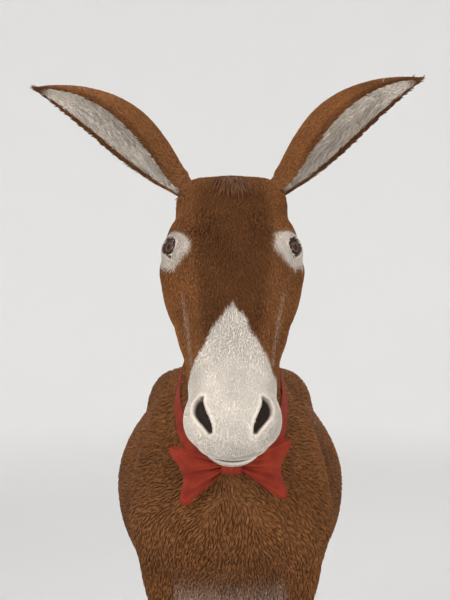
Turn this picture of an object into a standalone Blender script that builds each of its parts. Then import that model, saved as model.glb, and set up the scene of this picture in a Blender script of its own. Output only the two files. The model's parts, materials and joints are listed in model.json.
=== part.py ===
"""A standard donkey, life size, standing square with its head up and a bow on a band round its neck.

The animal faces -Y, with its left side at +X and its hooves on z = 0. All sizes are in metres.

The flesh is one field of round forms: limbs are run along curved axes, and muscles and bones are
ellipsoids and bars. They are joined with soft fillets, meshed as one body, and parted with thin cuts.
"""

import math

import bmesh
import bpy
import numpy as np
from mathutils import Matrix, Vector

# ---- Driving dimensions -------------------------------------------------------------------------
COAT = 0.008  # depth of the body's coat, from the skin to the tips
FACE_COAT = 0.003  # depth of the short coat of the face and feet
LID_COAT = 0.0008  # depth of the down on the eyelids
GAP = 0.0003  # air between touching pieces
CELL = 0.013  # edge of the cells that the flesh is first meshed with
FLESH_TRIANGLES = 3850  # triangles of the flesh before it is parted

# Colours: red, green and blue in linear light, then roughness.
FINISHES = {
    "coat": ((0.130, 0.060, 0.026), 0.85),
    "mane_hair": ((0.030, 0.016, 0.010), 0.80),
    "horn": ((0.030, 0.024, 0.020), 0.45),
    "eye": ((0.022, 0.010, 0.006), 0.08),
    "red_cloth": ((0.230, 0.030, 0.014), 0.75),
}
# The finish of each node, by how its name begins.
NODE_FINISHES = (
    ("ear", "coat"),
    ("eye", "eye"),
    ("hoof", "horn"),
    ("mane", "mane_hair"),
    ("tail_switch", "mane_hair"),
    ("bow", "red_cloth"),
    ("", "coat"),
)
SMOOTH_ANGLE = math.radians(40.0)  # edges sharper than this stay sharp

# ---- Head: a frame of its own, with its root at the poll ---------------------------------------
HEAD_PITCH = math.radians(38.0)  # how far the face leans forward from the vertical
POLL = np.array([0.0, -0.515, 1.500])
DOWN_FACE = np.array([0.0, -math.sin(HEAD_PITCH), -math.cos(HEAD_PITCH)])
OFF_FACE = np.array([0.0, -math.cos(HEAD_PITCH), math.sin(HEAD_PITCH)])

EYE_RADIUS = 0.0215
EYE_PLACE = (0.0935, 0.146, -0.010)  # across, down the face, off the face
EYE_AIM = (0.66, 0.12, 0.74)  # the way the eye looks: across, down and off the face
LID = 0.0030  # how far the lids stand off the eyeball
EYE_OPENING = (0.0185, 0.0125)  # half the length and half the height of the gap between the lids

# ---- Stations of the limbs ---------------------------------------------------------------------
# Trunk: y, z, half width, height over and under the axis, squareness over and under it.
TRUNK = (
    (-0.385, 0.865, 0.050, 0.055, 0.060, 2.0, 2.0),
    (-0.360, 0.868, 0.105, 0.110, 0.115, 2.0, 2.0),
    (-0.305, 0.875, 0.150, 0.180, 0.180, 2.0, 2.0),
    (-0.215, 0.885, 0.170, 0.235, 0.235, 1.8, 2.1),
    (-0.115, 0.882, 0.190, 0.255, 0.252, 1.7, 2.1),
    (0.005, 0.868, 0.224, 0.250, 0.255, 1.8, 2.1),
    (0.135, 0.855, 0.256, 0.244, 0.258, 1.9, 2.1),
    (0.265, 0.860, 0.254, 0.252, 0.250, 1.9, 2.1),
    (0.385, 0.888, 0.218, 0.254, 0.225, 2.0, 2.0),
    (0.475, 0.915, 0.186, 0.232, 0.185, 2.0, 2.0),
    (0.565, 0.925, 0.158, 0.192, 0.160, 2.0, 2.0),
    (0.640, 0.920, 0.112, 0.135, 0.125, 2.0, 2.0),
    (0.683, 0.910, 0.050, 0.060, 0.060, 2.0, 2.0),
)
# Neck: y, z, half width, depth on the crest's side and on the throat's, squareness of both.
NECK = (
    (-0.065, 0.890, 0.140, 0.180, 0.220, 2.0, 2.0),
    (-0.155, 0.995, 0.122, 0.165, 0.200, 1.9, 2.0),
    (-0.230, 1.110, 0.098, 0.140, 0.165, 1.8, 2.0),
    (-0.290, 1.220, 0.080, 0.117, 0.132, 1.8, 2.1),
    (-0.343, 1.318, 0.071, 0.100, 0.110, 1.9, 2.1),
    (-0.405, 1.395, 0.066, 0.084, 0.095, 2.0, 2.0),
    (-0.470, 1.440, 0.048, 0.054, 0.064, 2.0, 2.0),
)
# Head: down the face, off the face, half width, depth over and under, squareness over and under.
HEAD = (
    (-0.040, -0.085, 0.028, 0.030, 0.035, 2.0, 2.0),
    (-0.014, -0.074, 0.066, 0.060, 0.052, 2.2, 2.0),
    (0.030, -0.060, 0.088, 0.069, 0.094, 2.4, 2.0),
    (0.080, -0.048, 0.103, 0.071, 0.132, 2.5, 2.0),
    (0.130, -0.038, 0.111, 0.064, 0.154, 2.5, 2.0),
    (0.180, -0.042, 0.110, 0.064, 0.148, 2.3, 2.0),
    (0.230, -0.050, 0.101, 0.064, 0.126, 2.1, 2.0),
    (0.290, -0.056, 0.086, 0.061, 0.097, 2.1, 2.1),
    (0.350, -0.058, 0.074, 0.056, 0.074, 2.2, 2.2),
    (0.410, -0.058, 0.069, 0.052, 0.063, 2.4, 2.3),
    (0.450, -0.060, 0.070, 0.049, 0.060, 2.5, 2.4),
    (0.476, -0.064, 0.062, 0.042, 0.049, 2.3, 2.2),
    (0.492, -0.066, 0.040, 0.024, 0.030, 2.0, 2.0),
)
# Legs: x, y, z, half width, depth before and behind the axis, squareness of both.
FORE_LEG = (
    (0.075, -0.160, 1.000, 0.030, 0.035, 0.045, 2.0, 2.0),
    (0.100, -0.190, 0.930, 0.060, 0.090, 0.105, 2.0, 2.0),
    (0.118, -0.215, 0.840, 0.064, 0.110, 0.120, 2.0, 2.0),
    (0.122, -0.195, 0.745, 0.058, 0.086, 0.098, 2.0, 2.0),
    (0.116, -0.173, 0.660, 0.048, 0.058, 0.066, 2.0, 2.0),
    (0.111, -0.170, 0.560, 0.040, 0.045, 0.049, 2.0, 2.0),
    (0.107, -0.170, 0.460, 0.033, 0.035, 0.036, 2.2, 2.0),
    (0.105, -0.172, 0.385, 0.036, 0.036, 0.036, 2.5, 2.2),
    (0.104, -0.170, 0.325, 0.027, 0.028, 0.033, 2.2, 2.0),
    (0.104, -0.169, 0.250, 0.0215, 0.0225, 0.028, 2.0, 2.0),
    (0.104, -0.169, 0.180, 0.0220, 0.0225, 0.029, 2.0, 2.0),
    (0.104, -0.171, 0.135, 0.030, 0.029, 0.035, 2.0, 2.0),
    (0.104, -0.189, 0.098, 0.0265, 0.026, 0.028, 2.0, 2.0),
    (0.104, -0.207, 0.065, 0.035, 0.034, 0.036, 2.2, 2.0),
    (0.104, -0.215, 0.045, 0.036, 0.036, 0.036, 2.2, 2.0),
)
HIND_LEG = (
    (0.070, 0.520, 0.980, 0.035, 0.050, 0.060, 2.0, 2.0),
    (0.100, 0.515, 0.900, 0.082, 0.135, 0.150, 2.0, 2.0),
    (0.125, 0.495, 0.810, 0.078, 0.140, 0.150, 2.0, 2.0),
    (0.130, 0.485, 0.710, 0.064, 0.112, 0.108, 2.0, 2.0),
    (0.124, 0.507, 0.610, 0.048, 0.066, 0.070, 2.0, 2.0),
    (0.116, 0.537, 0.530, 0.036, 0.045, 0.054, 2.0, 1.8),
    (0.111, 0.561, 0.460, 0.034, 0.040, 0.052, 2.3, 1.8),
    (0.109, 0.565, 0.395, 0.028, 0.032, 0.036, 2.2, 1.8),
    (0.108, 0.565, 0.290, 0.0225, 0.024, 0.028, 2.0, 2.0),
    (0.107, 0.564, 0.195, 0.0225, 0.024, 0.029, 2.0, 2.0),
    (0.107, 0.561, 0.145, 0.030, 0.030, 0.036, 2.0, 2.0),
    (0.107, 0.543, 0.103, 0.0265, 0.026, 0.028, 2.0, 2.0),
    (0.107, 0.525, 0.068, 0.035, 0.033, 0.035, 2.2, 2.0),
    (0.107, 0.517, 0.047, 0.036, 0.036, 0.036, 2.2, 2.0),
)
# Dock of the tail: y, z, half width, depth before and behind the axis.
DOCK = (
    (0.615, 1.030, 0.030, 0.030, 0.030),
    (0.685, 1.022, 0.030, 0.028, 0.030),
    (0.735, 0.972, 0.028, 0.024, 0.027),
    (0.757, 0.880, 0.024, 0.021, 0.023),
    (0.761, 0.770, 0.020, 0.018, 0.019),
    (0.756, 0.660, 0.017, 0.017, 0.017),
    (0.752, 0.560, 0.016, 0.016, 0.016),
)
# Muscles and bones that show on the body, each on both sides: centre, radii, fillet.
BODY_BALLS = (
    ((0.055, -0.320, 0.865), (0.065, 0.065, 0.085), 0.06),  # breast
    ((0.152, 0.392, 1.035), (0.030, 0.050, 0.040), 0.09),  # point of the hip
    ((0.075, 0.605, 0.900), (0.070, 0.075, 0.115), 0.05),  # buttock
    ((0.145, 0.390, 0.735), (0.040, 0.045, 0.055), 0.05),  # stifle
    ((0.130, -0.100, 0.700), (0.024, 0.030, 0.038), 0.05),  # elbow
    ((0.108, -0.137, 0.398), (0.012, 0.014, 0.020), 0.02),  # bone behind the knee
)
# The same as bars: both ends, the radius at each, fillet.
BODY_BARS = (
    ((0.085, -0.105, 1.060), (0.112, -0.260, 0.860), 0.045, 0.064, 0.08),  # shoulder blade
    ((0.110, 0.605, 0.488), (0.112, 0.579, 0.580), 0.014, 0.012, 0.03),  # point of the hock
)
# Muscles and bones of the head: across, down the face and off the face; radii; fillet.
HEAD_BALLS = (
    ((0.066, 0.150, -0.098), (0.044, 0.086, 0.080), 0.05),  # cheek muscle
    ((0.061, 0.008, -0.040), (0.030, 0.034, 0.036), 0.04),  # root of the ear
    ((0.0, 0.466, -0.060), (0.061, 0.047, 0.041), 0.035),  # upper lip
    ((0.0, 0.470, -0.103), (0.045, 0.037, 0.021), 0.012),  # lower lip
    ((0.044, 0.460, -0.040), (0.024, 0.032, 0.026), 0.025),  # wing of the nostril
    ((0.0, 0.446, -0.114), (0.040, 0.032, 0.019), 0.02),  # chin
)
HEAD_BARS = (
    ((0.078, 0.108, -0.006), (0.098, 0.150, 0.002), 0.016, 0.012, 0.03),  # arch over the eye
    ((0.100, 0.165, -0.038), (0.068, 0.300, -0.052), 0.012, 0.008, 0.03),  # crest below the eye
)
# Ear: share of its length, radius of the rolled leaf, and half the angle that it wraps round.
EAR = (
    (0.00, 0.020, 2.70),
    (0.12, 0.025, 2.45),
    (0.28, 0.043, 2.00),
    (0.45, 0.056, 1.78),
    (0.62, 0.055, 1.62),
    (0.78, 0.042, 1.50),
    (0.90, 0.024, 1.42),
    (0.97, 0.009, 1.42),
    (1.00, 0.003, 1.40),
)
EAR_LENGTH = 0.348
EAR_WALL = 0.0065  # with the coat on both its faces
EAR_ROOT = (0.067, -0.002, -0.036)  # across, down the face, off the face
EAR_RISE = {"left": math.radians(37.5), "right": math.radians(34.0)}  # above the horizontal
EAR_OPENING = math.radians(62.0)  # how far the open side is turned from forwards to down
EAR_BOW = 0.018  # how far the ear arches up between its root and its tip
EAR_SIDES = 7  # points across the leaf, on each of its faces
# Hooves: how high up the wall, how far behind the toe's line, half width, depth before and behind.
HOOF_HEIGHT = 0.066
HOOF_RINGS = (
    (0.00, 0.000, 0.0430, 0.052, 0.048),
    (0.06, 0.001, 0.0435, 0.051, 0.048),
    (0.50, 0.008, 0.0395, 0.044, 0.044),
    (0.90, 0.015, 0.0365, 0.038, 0.040),
    (1.00, 0.016, 0.0345, 0.035, 0.038),
)
HOOF_CENTRES = {"fore": (0.104, -0.226), "hind": (0.107, 0.505)}
CORONET_SLOPE = 0.32  # how much lower the hairline is at the heel than at the toe, per metre
# Mane: where along the neck's axis, and how tall it stands.
MANE = ((0.07, 0.016), (0.22, 0.042), (0.42, 0.058), (0.62, 0.052), (0.76, 0.022), (0.82, 0.006))
# Band: a flat ribbon round the neck that hangs lower at the throat, and the bow on it.
BAND_CENTRE = (0.0, -0.270, 1.110)
BAND_LEAN = math.radians(47.0)  # how far its plane dips towards the throat
BAND_WIDTH = 0.026
BAND_THICKNESS = 0.004
BAND_SINK = 0.008  # how far the solid of the band reaches into the neck before it is trimmed
KNOT = (0.020, 0.019, 0.013)  # half width, half height, half depth
# Loops of the bow: fans of pinched cloth that spread from the knot, with a notch in their outer edge.
BOW_TILT = math.radians(4.0)  # how much the bow's left side is raised
LOOP_DROOP = math.radians(8.0)  # how far a loop's middle line hangs below the level
LOOP_SPREAD = math.radians(31.0)  # from a loop's middle line to its edges
LOOP_START = 0.0205  # how far out of the knot's middle a loop starts
LOOP_NOTCH = 0.092  # how far from the knot's middle the notch is
LOOP_TIP = 0.126  # and the tips of the edges
# Share of a loop's length, and half its depth there.
LOOP_DEPTH = ((0.0, 0.0085), (0.3, 0.0120), (0.65, 0.0110), (0.9, 0.0070), (1.0, 0.0035))
# Switch of the tail: z, half width, depth before and behind.
SWITCH = (
    (0.618, 0.018, 0.018, 0.019),
    (0.570, 0.026, 0.024, 0.026),
    (0.500, 0.034, 0.029, 0.031),
    (0.420, 0.034, 0.028, 0.030),
    (0.350, 0.022, 0.018, 0.020),
    (0.310, 0.006, 0.006, 0.006),
)

BAND_ROOM = 0.001  # air round the band where it passes through the mane
BAND_SECTIONS = 28
LOOP_SIDES = 8
LOOP_ARCS = 7
# Cuts that part the flesh: a point of the plane, its normal, and the box that the cut stays in.
FAR = 3.0
HEAD_CUT = ((0.0, -0.450, 1.400), (0.0, -0.990, -0.139), (-FAR, -FAR, 1.02), (FAR, FAR, FAR))
NECK_CUT = ((0.0, -0.245, 1.040), (0.0, -0.646, 0.763), (-FAR, -FAR, -FAR), (FAR, FAR, FAR))
TAIL_CUT = ((0.0, 0.711, 1.000), (0.0, 1.0, 0.0), (-FAR, -FAR, -FAR), (FAR, FAR, FAR))
TAIL_END = 0.6183  # height of the dock's end, which the switch grows from
LEG_CUTS = {
    "fore": ((0.035, 0.0, 0.60), (0.79, 0.0, -0.61), (0.0, -0.60, -0.1), (0.5, -0.070, 1.0)),
    "hind": ((0.030, 0.0, 0.66), (0.863, 0.0, -0.506), (0.0, 0.347, -0.1), (0.5, 0.85, 1.1)),
}
SIDES = {"left": 1.0, "right": -1.0}  # the sign of x on each side

# ---- Curves and fields --------------------------------------------------------------------------
def smooth_rows(rows, pieces):
    """Rows of numbers joined by cubics whose slope at a row is half the step between its neighbours."""
    rows = np.asarray(rows, float)
    ends = np.vstack([2 * rows[0] - rows[1], rows, 2 * rows[-1] - rows[-2]])
    t = np.linspace(0.0, 1.0, pieces, endpoint=False)[:, None]
    spans = [
        b + 0.5 * t * (c - a + t * (2 * a - 5 * b + 4 * c - d + t * (3 * (b - c) + d - a)))
        for a, b, c, d in zip(ends[:-3], ends[1:-2], ends[2:-1], ends[3:])
    ]
    return np.vstack([*spans, rows[-1:]])


def unit(vectors):
    return vectors / np.maximum(np.linalg.norm(vectors, axis=-1, keepdims=True), 1e-12)


class Limb:
    """A round form along a curved axis: at each place its section is half of one superellipse on the
    front of the axis and half of another behind it, both as wide as each other."""

    def __init__(self, stations, front, pieces=4):
        rows = smooth_rows(stations, pieces)
        self.axis = rows[:, :3]
        self.form = rows[:, 3:]
        self.along = unit(np.gradient(self.axis, axis=0))
        steps = np.linalg.norm(np.diff(self.axis, axis=0), axis=1)
        self.arc = np.concatenate([[0.0], np.cumsum(steps)])
        across = np.array([1.0, 0.0, 0.0])
        self.side = unit(across - self.along * self.along[:, :1])
        self.front = np.cross(self.along, self.side)
        self.front *= np.sign((self.front @ np.asarray(front, float)).sum())

    def distance(self, points):
        """Roughly the distance from the surface, negative inside. A point belongs to the place where
        the plane square to the axis passes through it, and past an end to that end's plane."""
        ahead = points @ self.along.T - (self.axis * self.along).sum(1)
        reach = (points**2).sum(1)[:, None] - 2 * points @ self.axis.T + (self.axis**2).sum(1)
        between = (ahead[:, :-1] >= 0) & (ahead[:, 1:] < 0)
        cost = np.where(between, 0.0, 1e3) + np.minimum(reach[:, :-1], reach[:, 1:])
        near = cost.argmin(1)
        row = np.arange(len(points))
        inner = between[row, near]
        low, high = ahead[row, near], ahead[row, near + 1]
        t = np.where(inner, low / np.maximum(low - high, 1e-9), np.where(low < 0, 0.0, 1.0))[:, None]

        def at(values):
            return values[near] * (1 - t) + values[near + 1] * t

        off = points - at(self.axis)
        x = (off * unit(at(self.side))).sum(-1)
        z = (off * unit(at(self.front))).sum(-1)
        past = (off * unit(at(self.along))).sum(-1)
        arc = at(self.arc[:, None])[:, 0]
        width, fore, aft, fore_power, aft_power = at(self.form).T
        depth = np.where(z > 0, fore, aft)
        power = np.where(z > 0, fore_power, aft_power)
        ratio = (np.abs(x / width) ** power + np.abs(z / depth) ** power) ** (1 / power)
        gap = np.hypot(x, z) * (1 - 1 / np.maximum(ratio, 1e-6))
        gap = np.where(ratio < 1e-3, -np.minimum(width, depth), gap)
        within = np.maximum(gap, -np.minimum(arc, self.arc[-1] - arc))
        return np.where(inner, within, np.hypot(np.maximum(gap, 0.0), past))

    def rings(self, sides):
        """The sections as rings of points, for a first closed mesh."""
        angle = np.linspace(0.0, 2 * math.pi, sides, endpoint=False)
        cosine, sine = np.cos(angle), np.sin(angle)
        width, fore, aft, fore_power, aft_power = (column[:, None] for column in self.form.T)
        power = np.where(sine > 0, fore_power, aft_power)
        x = width * np.sign(cosine) * np.abs(cosine) ** (2 / power)
        z = np.where(sine > 0, fore, aft) * np.sign(sine) * np.abs(sine) ** (2 / power)
        sideways = x[..., None] * self.side[:, None]
        return self.axis[:, None] + sideways + z[..., None] * self.front[:, None]


def in_plane(rows):
    """Stations that lie in the plane x = 0, with their squareness where a row leaves it out."""
    return [(0.0, *row, *(2.0, 2.0)[: 7 - len(row)]) for row in rows]


def head_point(across, down, off):
    """A point of the head, from its distances across, down and off the face."""
    return POLL + np.array([across, 0.0, 0.0]) + down * DOWN_FACE + off * OFF_FACE


def head_stations():
    rows = []
    for down, off, *form in HEAD:
        rows.append((*head_point(0.0, down, off), *form))
    return rows


LIMBS = {
    "trunk": Limb(in_plane(TRUNK), (0, 0, 1)),
    "neck": Limb(in_plane(NECK), (0, 1, 1)),
    "head": Limb(head_stations(), OFF_FACE),
    "fore_leg": Limb(FORE_LEG, (0, -1, 0)),
    "hind_leg": Limb(HIND_LEG, (0, -1, 0)),
    "dock": Limb(in_plane(DOCK), (0, -1, 0)),
}
PAIRED = ("fore_leg", "hind_leg")


def blend(a, b, width):
    """The smaller of two distances, with a fillet of about this width where they are close."""
    share = np.clip(0.5 + 0.5 * (b - a) / width, 0.0, 1.0)
    return b + (a - b) * share - width * share * (1 - share)


def ball(points, centre, radii, axes=None):
    """Roughly the distance from an ellipsoid, whose radii lie along the rows of axes."""
    off = points - np.asarray(centre, float)
    if axes is not None:
        off = off @ np.asarray(axes, float).T
    ratio = np.linalg.norm(off / np.asarray(radii, float), axis=1)
    return np.linalg.norm(off, axis=1) * (1 - 1 / np.maximum(ratio, 1e-3))


def bar(points, start, end, start_radius, end_radius):
    """Roughly the distance from a round bar that tapers from one radius to the other."""
    start, end = np.asarray(start, float), np.asarray(end, float)
    step = end - start
    t = np.clip((points - start) @ step / (step @ step), 0.0, 1.0)
    reach = np.linalg.norm(points - start - t[:, None] * step, axis=1)
    return reach - (start_radius + (end_radius - start_radius) * t)


HEAD_AXES = np.array([(1.0, 0.0, 0.0), DOWN_FACE, OFF_FACE])


def flesh(points):
    """The distance from the skin of the whole animal, negative inside."""
    pair = points.copy()
    pair[:, 0] = np.sqrt(points[:, 0] ** 2 + 0.012**2)
    found = LIMBS["trunk"].distance(points)
    found = blend(found, LIMBS["hind_leg"].distance(pair), 0.050)
    found = blend(found, LIMBS["fore_leg"].distance(pair), 0.045)
    found = blend(found, LIMBS["neck"].distance(points), 0.090)
    found = blend(found, LIMBS["dock"].distance(points), 0.040)
    for centre, radii, fillet in BODY_BALLS:
        found = blend(found, ball(pair, centre, radii), fillet)
    for start, end, start_radius, end_radius, fillet in BODY_BARS:
        found = blend(found, bar(pair, start, end, start_radius, end_radius), fillet)
    return blend(found, head_form(points), 0.045)


def head_form(points):
    """The distance from the skin of the head alone."""
    pair = points.copy()
    pair[:, 0] = np.sqrt(points[:, 0] ** 2 + 0.004**2)
    found = LIMBS["head"].distance(points)
    for centre, radii, fillet in HEAD_BALLS:
        found = blend(found, ball(pair, head_point(*centre), radii, HEAD_AXES), fillet)
    for start, end, start_radius, end_radius, fillet in HEAD_BARS:
        ends = head_point(*start), head_point(*end)
        found = blend(found, bar(pair, *ends, start_radius, end_radius), fillet)
    lids = ball(pair, head_point(*EYE_PLACE), [EYE_RADIUS + LID] * 3)
    return blend(found, lids, 0.012)


# ---- Meshes ---------------------------------------------------------------------------------------
def clear_scene():
    for obj in list(bpy.data.objects):
        bpy.data.objects.remove(obj, do_unlink=True)


def link(name, mesh):
    obj = bpy.data.objects.new(name, mesh)
    bpy.context.scene.collection.objects.link(obj)
    return obj


def ring_faces(count, sides, first=0, closed=False):
    """Faces between rings of points that follow each other, with both ends closed by a face or,
    where the form is closed, with the last ring joined to the first."""
    faces = []
    for ring in range(count if closed else count - 1):
        for side in range(sides):
            low = first + ring * sides
            high = first + (ring + 1) % count * sides
            following = (side + 1) % sides
            faces.append((low + side, low + following, high + following, high + side))
    if not closed:
        last = first + (count - 1) * sides
        faces.append(tuple(range(first + sides - 1, first - 1, -1)))
        faces.append(tuple(range(last, last + sides)))
    return faces


def rings_object(name, forms, closed=False):
    """One object of closed tubes, each given as rings of points."""
    points, faces = [], []
    for rings in forms:
        count, sides = rings.shape[:2]
        faces += ring_faces(count, sides, len(points), closed)
        points += [tuple(p) for p in rings.reshape(-1, 3)]
    mesh = bpy.data.meshes.new(name)
    mesh.from_pydata(points, [], faces)
    work = bmesh.new()
    work.from_mesh(mesh)
    bmesh.ops.recalc_face_normals(work, faces=work.faces)
    bmesh.ops.triangulate(work, faces=work.faces)
    work.to_mesh(mesh)
    work.free()
    return link(name, mesh)


def settle(obj):
    """Replaces the object's mesh with what its modifiers make of it."""
    graph = bpy.context.evaluated_depsgraph_get()
    mesh = bpy.data.meshes.new_from_object(obj.evaluated_get(graph))
    obj.modifiers.clear()
    old = obj.data
    obj.data = mesh
    bpy.data.meshes.remove(old)
    return obj


def read_points(mesh):
    points = np.empty(len(mesh.vertices) * 3)
    mesh.vertices.foreach_get("co", points)
    return points.reshape(-1, 3)


def read_normals(mesh):
    normals = np.empty(len(mesh.vertices) * 3)
    mesh.vertex_normals.foreach_get("vector", normals)
    return normals.reshape(-1, 3)


def read_edges(mesh):
    edges = np.empty(len(mesh.edges) * 2, dtype=np.int64)
    mesh.edges.foreach_get("vertices", edges)
    return edges.reshape(-1, 2)


def write_points(mesh, points):
    mesh.vertices.foreach_set("co", points.ravel())
    mesh.update()


def neighbour_mean(points, edges):
    """The mean of each point's neighbours."""
    count = np.bincount(edges.ravel(), minlength=len(points))
    total = np.column_stack([
        np.bincount(edges[:, 0], points[edges[:, 1], axis], len(points))
        + np.bincount(edges[:, 1], points[edges[:, 0], axis], len(points))
        for axis in range(3)
    ])
    return total / count[:, None]


def fit_to_field(mesh, field, rounds, rounding):
    """Draws the mesh onto the places where the field is zero. While rounding, each round also wears
    the creases down; without it the points only even out sideways."""
    edges = read_edges(mesh)
    for _ in range(rounds):
        points = read_points(mesh)
        normals = read_normals(mesh)
        drift = neighbour_mean(points, edges) - points
        if not rounding:
            drift -= (drift * normals).sum(1)[:, None] * normals
        points += 0.6 * drift
        points -= np.clip(field(points), -0.01, 0.01)[:, None] * normals
        write_points(mesh, points)


def coat_depth(points):
    """How deep the coat is: short on the face and below the knees and hocks, and deep elsewhere."""
    down = (points - POLL) @ DOWN_FACE
    reach = np.linalg.norm(points - head_point(0.0, 0.22, -0.06), axis=1)
    face = np.clip((0.32 - reach) / 0.12, 0.0, 1.0) * np.clip((down + 0.05) / 0.08, 0.0, 1.0)
    foot = np.clip((0.52 - points[:, 2]) / 0.20, 0.0, 1.0)
    pair = np.abs(points) * (1.0, 0.0, 0.0) + points * (0.0, 1.0, 1.0)
    lid = np.clip((0.040 - np.linalg.norm(pair - head_point(*EYE_PLACE), axis=1)) / 0.01, 0.0, 1.0)
    depth = COAT + (FACE_COAT - COAT) * np.maximum(face, foot)
    return depth + (LID_COAT - depth) * lid


def coat_surface(points):
    """The distance from the tips of the coat."""
    return flesh(points) - coat_depth(points)


def make_flesh():
    """The whole animal's flesh and coat as one closed mesh, apart from ears, eyes, mane and hooves."""
    forms = []
    for name, limb in LIMBS.items():
        rings = limb.rings(24)
        forms.append(rings)
        if name in PAIRED:
            forms.append(rings * np.array([-1.0, 1.0, 1.0]))
    obj = rings_object("flesh", forms)
    for rounding in (True, True, False):
        cells = obj.modifiers.new("cells", "REMESH")
        cells.mode = "VOXEL"
        cells.voxel_size = CELL
        settle(obj)
        fit_to_field(obj.data, coat_surface, 5, rounding)
    triangles = sum(len(face.vertices) - 2 for face in obj.data.polygons)
    thin = obj.modifiers.new("thin", "DECIMATE")
    thin.ratio = FLESH_TRIANGLES / triangles
    thin.use_collapse_triangulate = True
    return settle(obj)


# ---- Cuts -------------------------------------------------------------------------------------------
def wedge(name, point, normal, low, high, gap):
    """A cutter: the part of a box that lies on the normal's side of a plane, moved off it by the gap."""
    work = bmesh.new()
    centre = (Vector(low) + Vector(high)) / 2
    size = Vector(high) - Vector(low)
    place = Matrix.Translation(centre) @ Matrix.Diagonal((*(abs(x) for x in size), 1.0))
    bmesh.ops.create_cube(work, size=1.0, matrix=place)
    normal = Vector(normal).normalized()
    bmesh.ops.bisect_plane(
        work,
        geom=work.verts[:] + work.edges[:] + work.faces[:],
        plane_co=Vector(point) + normal * gap,
        plane_no=normal,
        clear_inner=True,
    )
    edges = [edge for edge in work.edges if edge.is_boundary]
    bmesh.ops.holes_fill(work, edges=edges)
    bmesh.ops.recalc_face_normals(work, faces=work.faces)
    mesh = bpy.data.meshes.new(name)
    work.to_mesh(mesh)
    work.free()
    cutter = link(name, mesh)
    cutter.hide_render = True
    cutter.display_type = "WIRE"
    return cutter


def cut(obj, cutter, operation, discard=True):
    """Keeps what lies inside the cutter (INTERSECT) or outside it (DIFFERENCE)."""
    step = obj.modifiers.new("cut", "BOOLEAN")
    step.operation = operation
    step.object = cutter
    step.solver = "EXACT"
    settle(obj)
    if discard:
        bpy.data.objects.remove(cutter, do_unlink=True)
    return obj


def duplicate(obj, name):
    twin = obj.copy()
    twin.data = obj.data.copy()
    twin.name = name
    bpy.context.scene.collection.objects.link(twin)
    return twin


def grown(obj, name, distance):
    """A copy whose surface lies this far outside the first one's."""
    twin = duplicate(obj, name)
    points = read_points(twin.data) + distance * read_normals(twin.data)
    write_points(twin.data, points)
    return twin


def part_off(body, name, point, normal, low, high):
    """Takes the piece on the normal's side of a plane, within a box, off the body, and returns it."""
    piece = duplicate(body, name)
    cut(piece, wedge("cutter", point, normal, low, high, 0.0), "INTERSECT")
    inner_low = [low[0] - GAP, low[1] - GAP, low[2] - GAP]
    inner_high = [high[0] + GAP, high[1] + GAP, high[2] + GAP]
    cut(body, wedge("cutter", point, normal, inner_low, inner_high, -GAP), "DIFFERENCE")
    return piece


# ---- Pieces that stand on the flesh ---------------------------------------------------------------
def ear_rings(side):
    """The rolled leaf of an ear as closed loops: out along its back and in again along its hollow."""
    sign = 1.0 if side == "left" else -1.0
    rise = EAR_RISE[side]
    outward = np.array([sign * math.cos(rise), 0.0, math.sin(rise)])
    above = np.array([-sign * math.sin(rise), 0.0, math.cos(rise)])
    forward = np.array([0.0, -1.0, 0.0])
    back = -math.cos(EAR_OPENING) * forward + math.sin(EAR_OPENING) * above
    upper = math.sin(EAR_OPENING) * forward + math.cos(EAR_OPENING) * above
    root = head_point(sign * EAR_ROOT[0], *EAR_ROOT[1:])
    rows = smooth_rows(EAR, 2)
    turn = np.linspace(-1.0, 1.0, EAR_SIDES)
    rings = []
    for share, radius, wrap in rows:
        bow = EAR_BOW * math.sin(math.pi * share)
        centre = root + EAR_LENGTH * share * outward + bow * above
        angle = turn * wrap
        wall = EAR_WALL * min(1.0, 0.35 + radius / 0.025) * (0.55 + 0.45 * np.cos(turn * math.pi / 2))
        outer = centre + radius * (np.cos(angle)[:, None] * back + np.sin(angle)[:, None] * upper)
        hollow = (radius - np.minimum(wall, 0.8 * radius))[:, None]
        inner = centre + hollow * (np.cos(angle)[:, None] * back + np.sin(angle)[:, None] * upper)
        rings.append(np.vstack([outer, inner[::-1]]))
    return np.array(rings)


def hoof_rings(pair, sign):
    """A hoof as level rings at its sole that tilt with the hairline towards its top."""
    x, y = HOOF_CENTRES[pair]
    angle = np.linspace(0.0, 2 * math.pi, 16, endpoint=False)
    rings = []
    for share, shift, width, fore, aft in HOOF_RINGS:
        depth = np.where(np.sin(angle) > 0, fore, aft)
        across = sign * x + width * np.cos(angle)
        along = y + shift - depth * np.sin(angle)
        height = share * coronet_height(along, y)
        rings.append(np.column_stack([across, along, height]))
    return np.array(rings)


def coronet_height(along, y):
    """The height of the hairline over the hoof whose centre is at y: highest at the toe."""
    return HOOF_HEIGHT - CORONET_SLOPE * (along - y)


def mane_rings():
    """A fin of upright hair that stands on the crest of the neck."""
    neck = LIMBS["neck"]
    where = np.linspace(0.0, 1.0, len(neck.axis))
    rings = []
    for share, height in smooth_rows(MANE, 2):
        place = 1.0 - share
        centre, front = (
            np.array([np.interp(place, where, values[:, axis]) for axis in range(3)])
            for values in (neck.axis, neck.front)
        )
        reach = np.linspace(0.02, 0.30, 141)
        line = centre + reach[:, None] * unit(front)
        outside = coat_surface(line) > 0
        crest = line[outside.argmax()]
        up = unit(front)
        across = np.array([1.0, 0.0, 0.0])
        foot, top = 0.016, 0.007
        rings.append([
            crest - 0.020 * up - foot * across,
            crest - 0.020 * up + foot * across,
            crest + 0.5 * height * up + 0.8 * foot * across,
            crest + height * up + top * across,
            crest + height * up - top * across,
            crest + 0.5 * height * up - 0.8 * foot * across,
        ])
    return np.array(rings)


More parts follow.
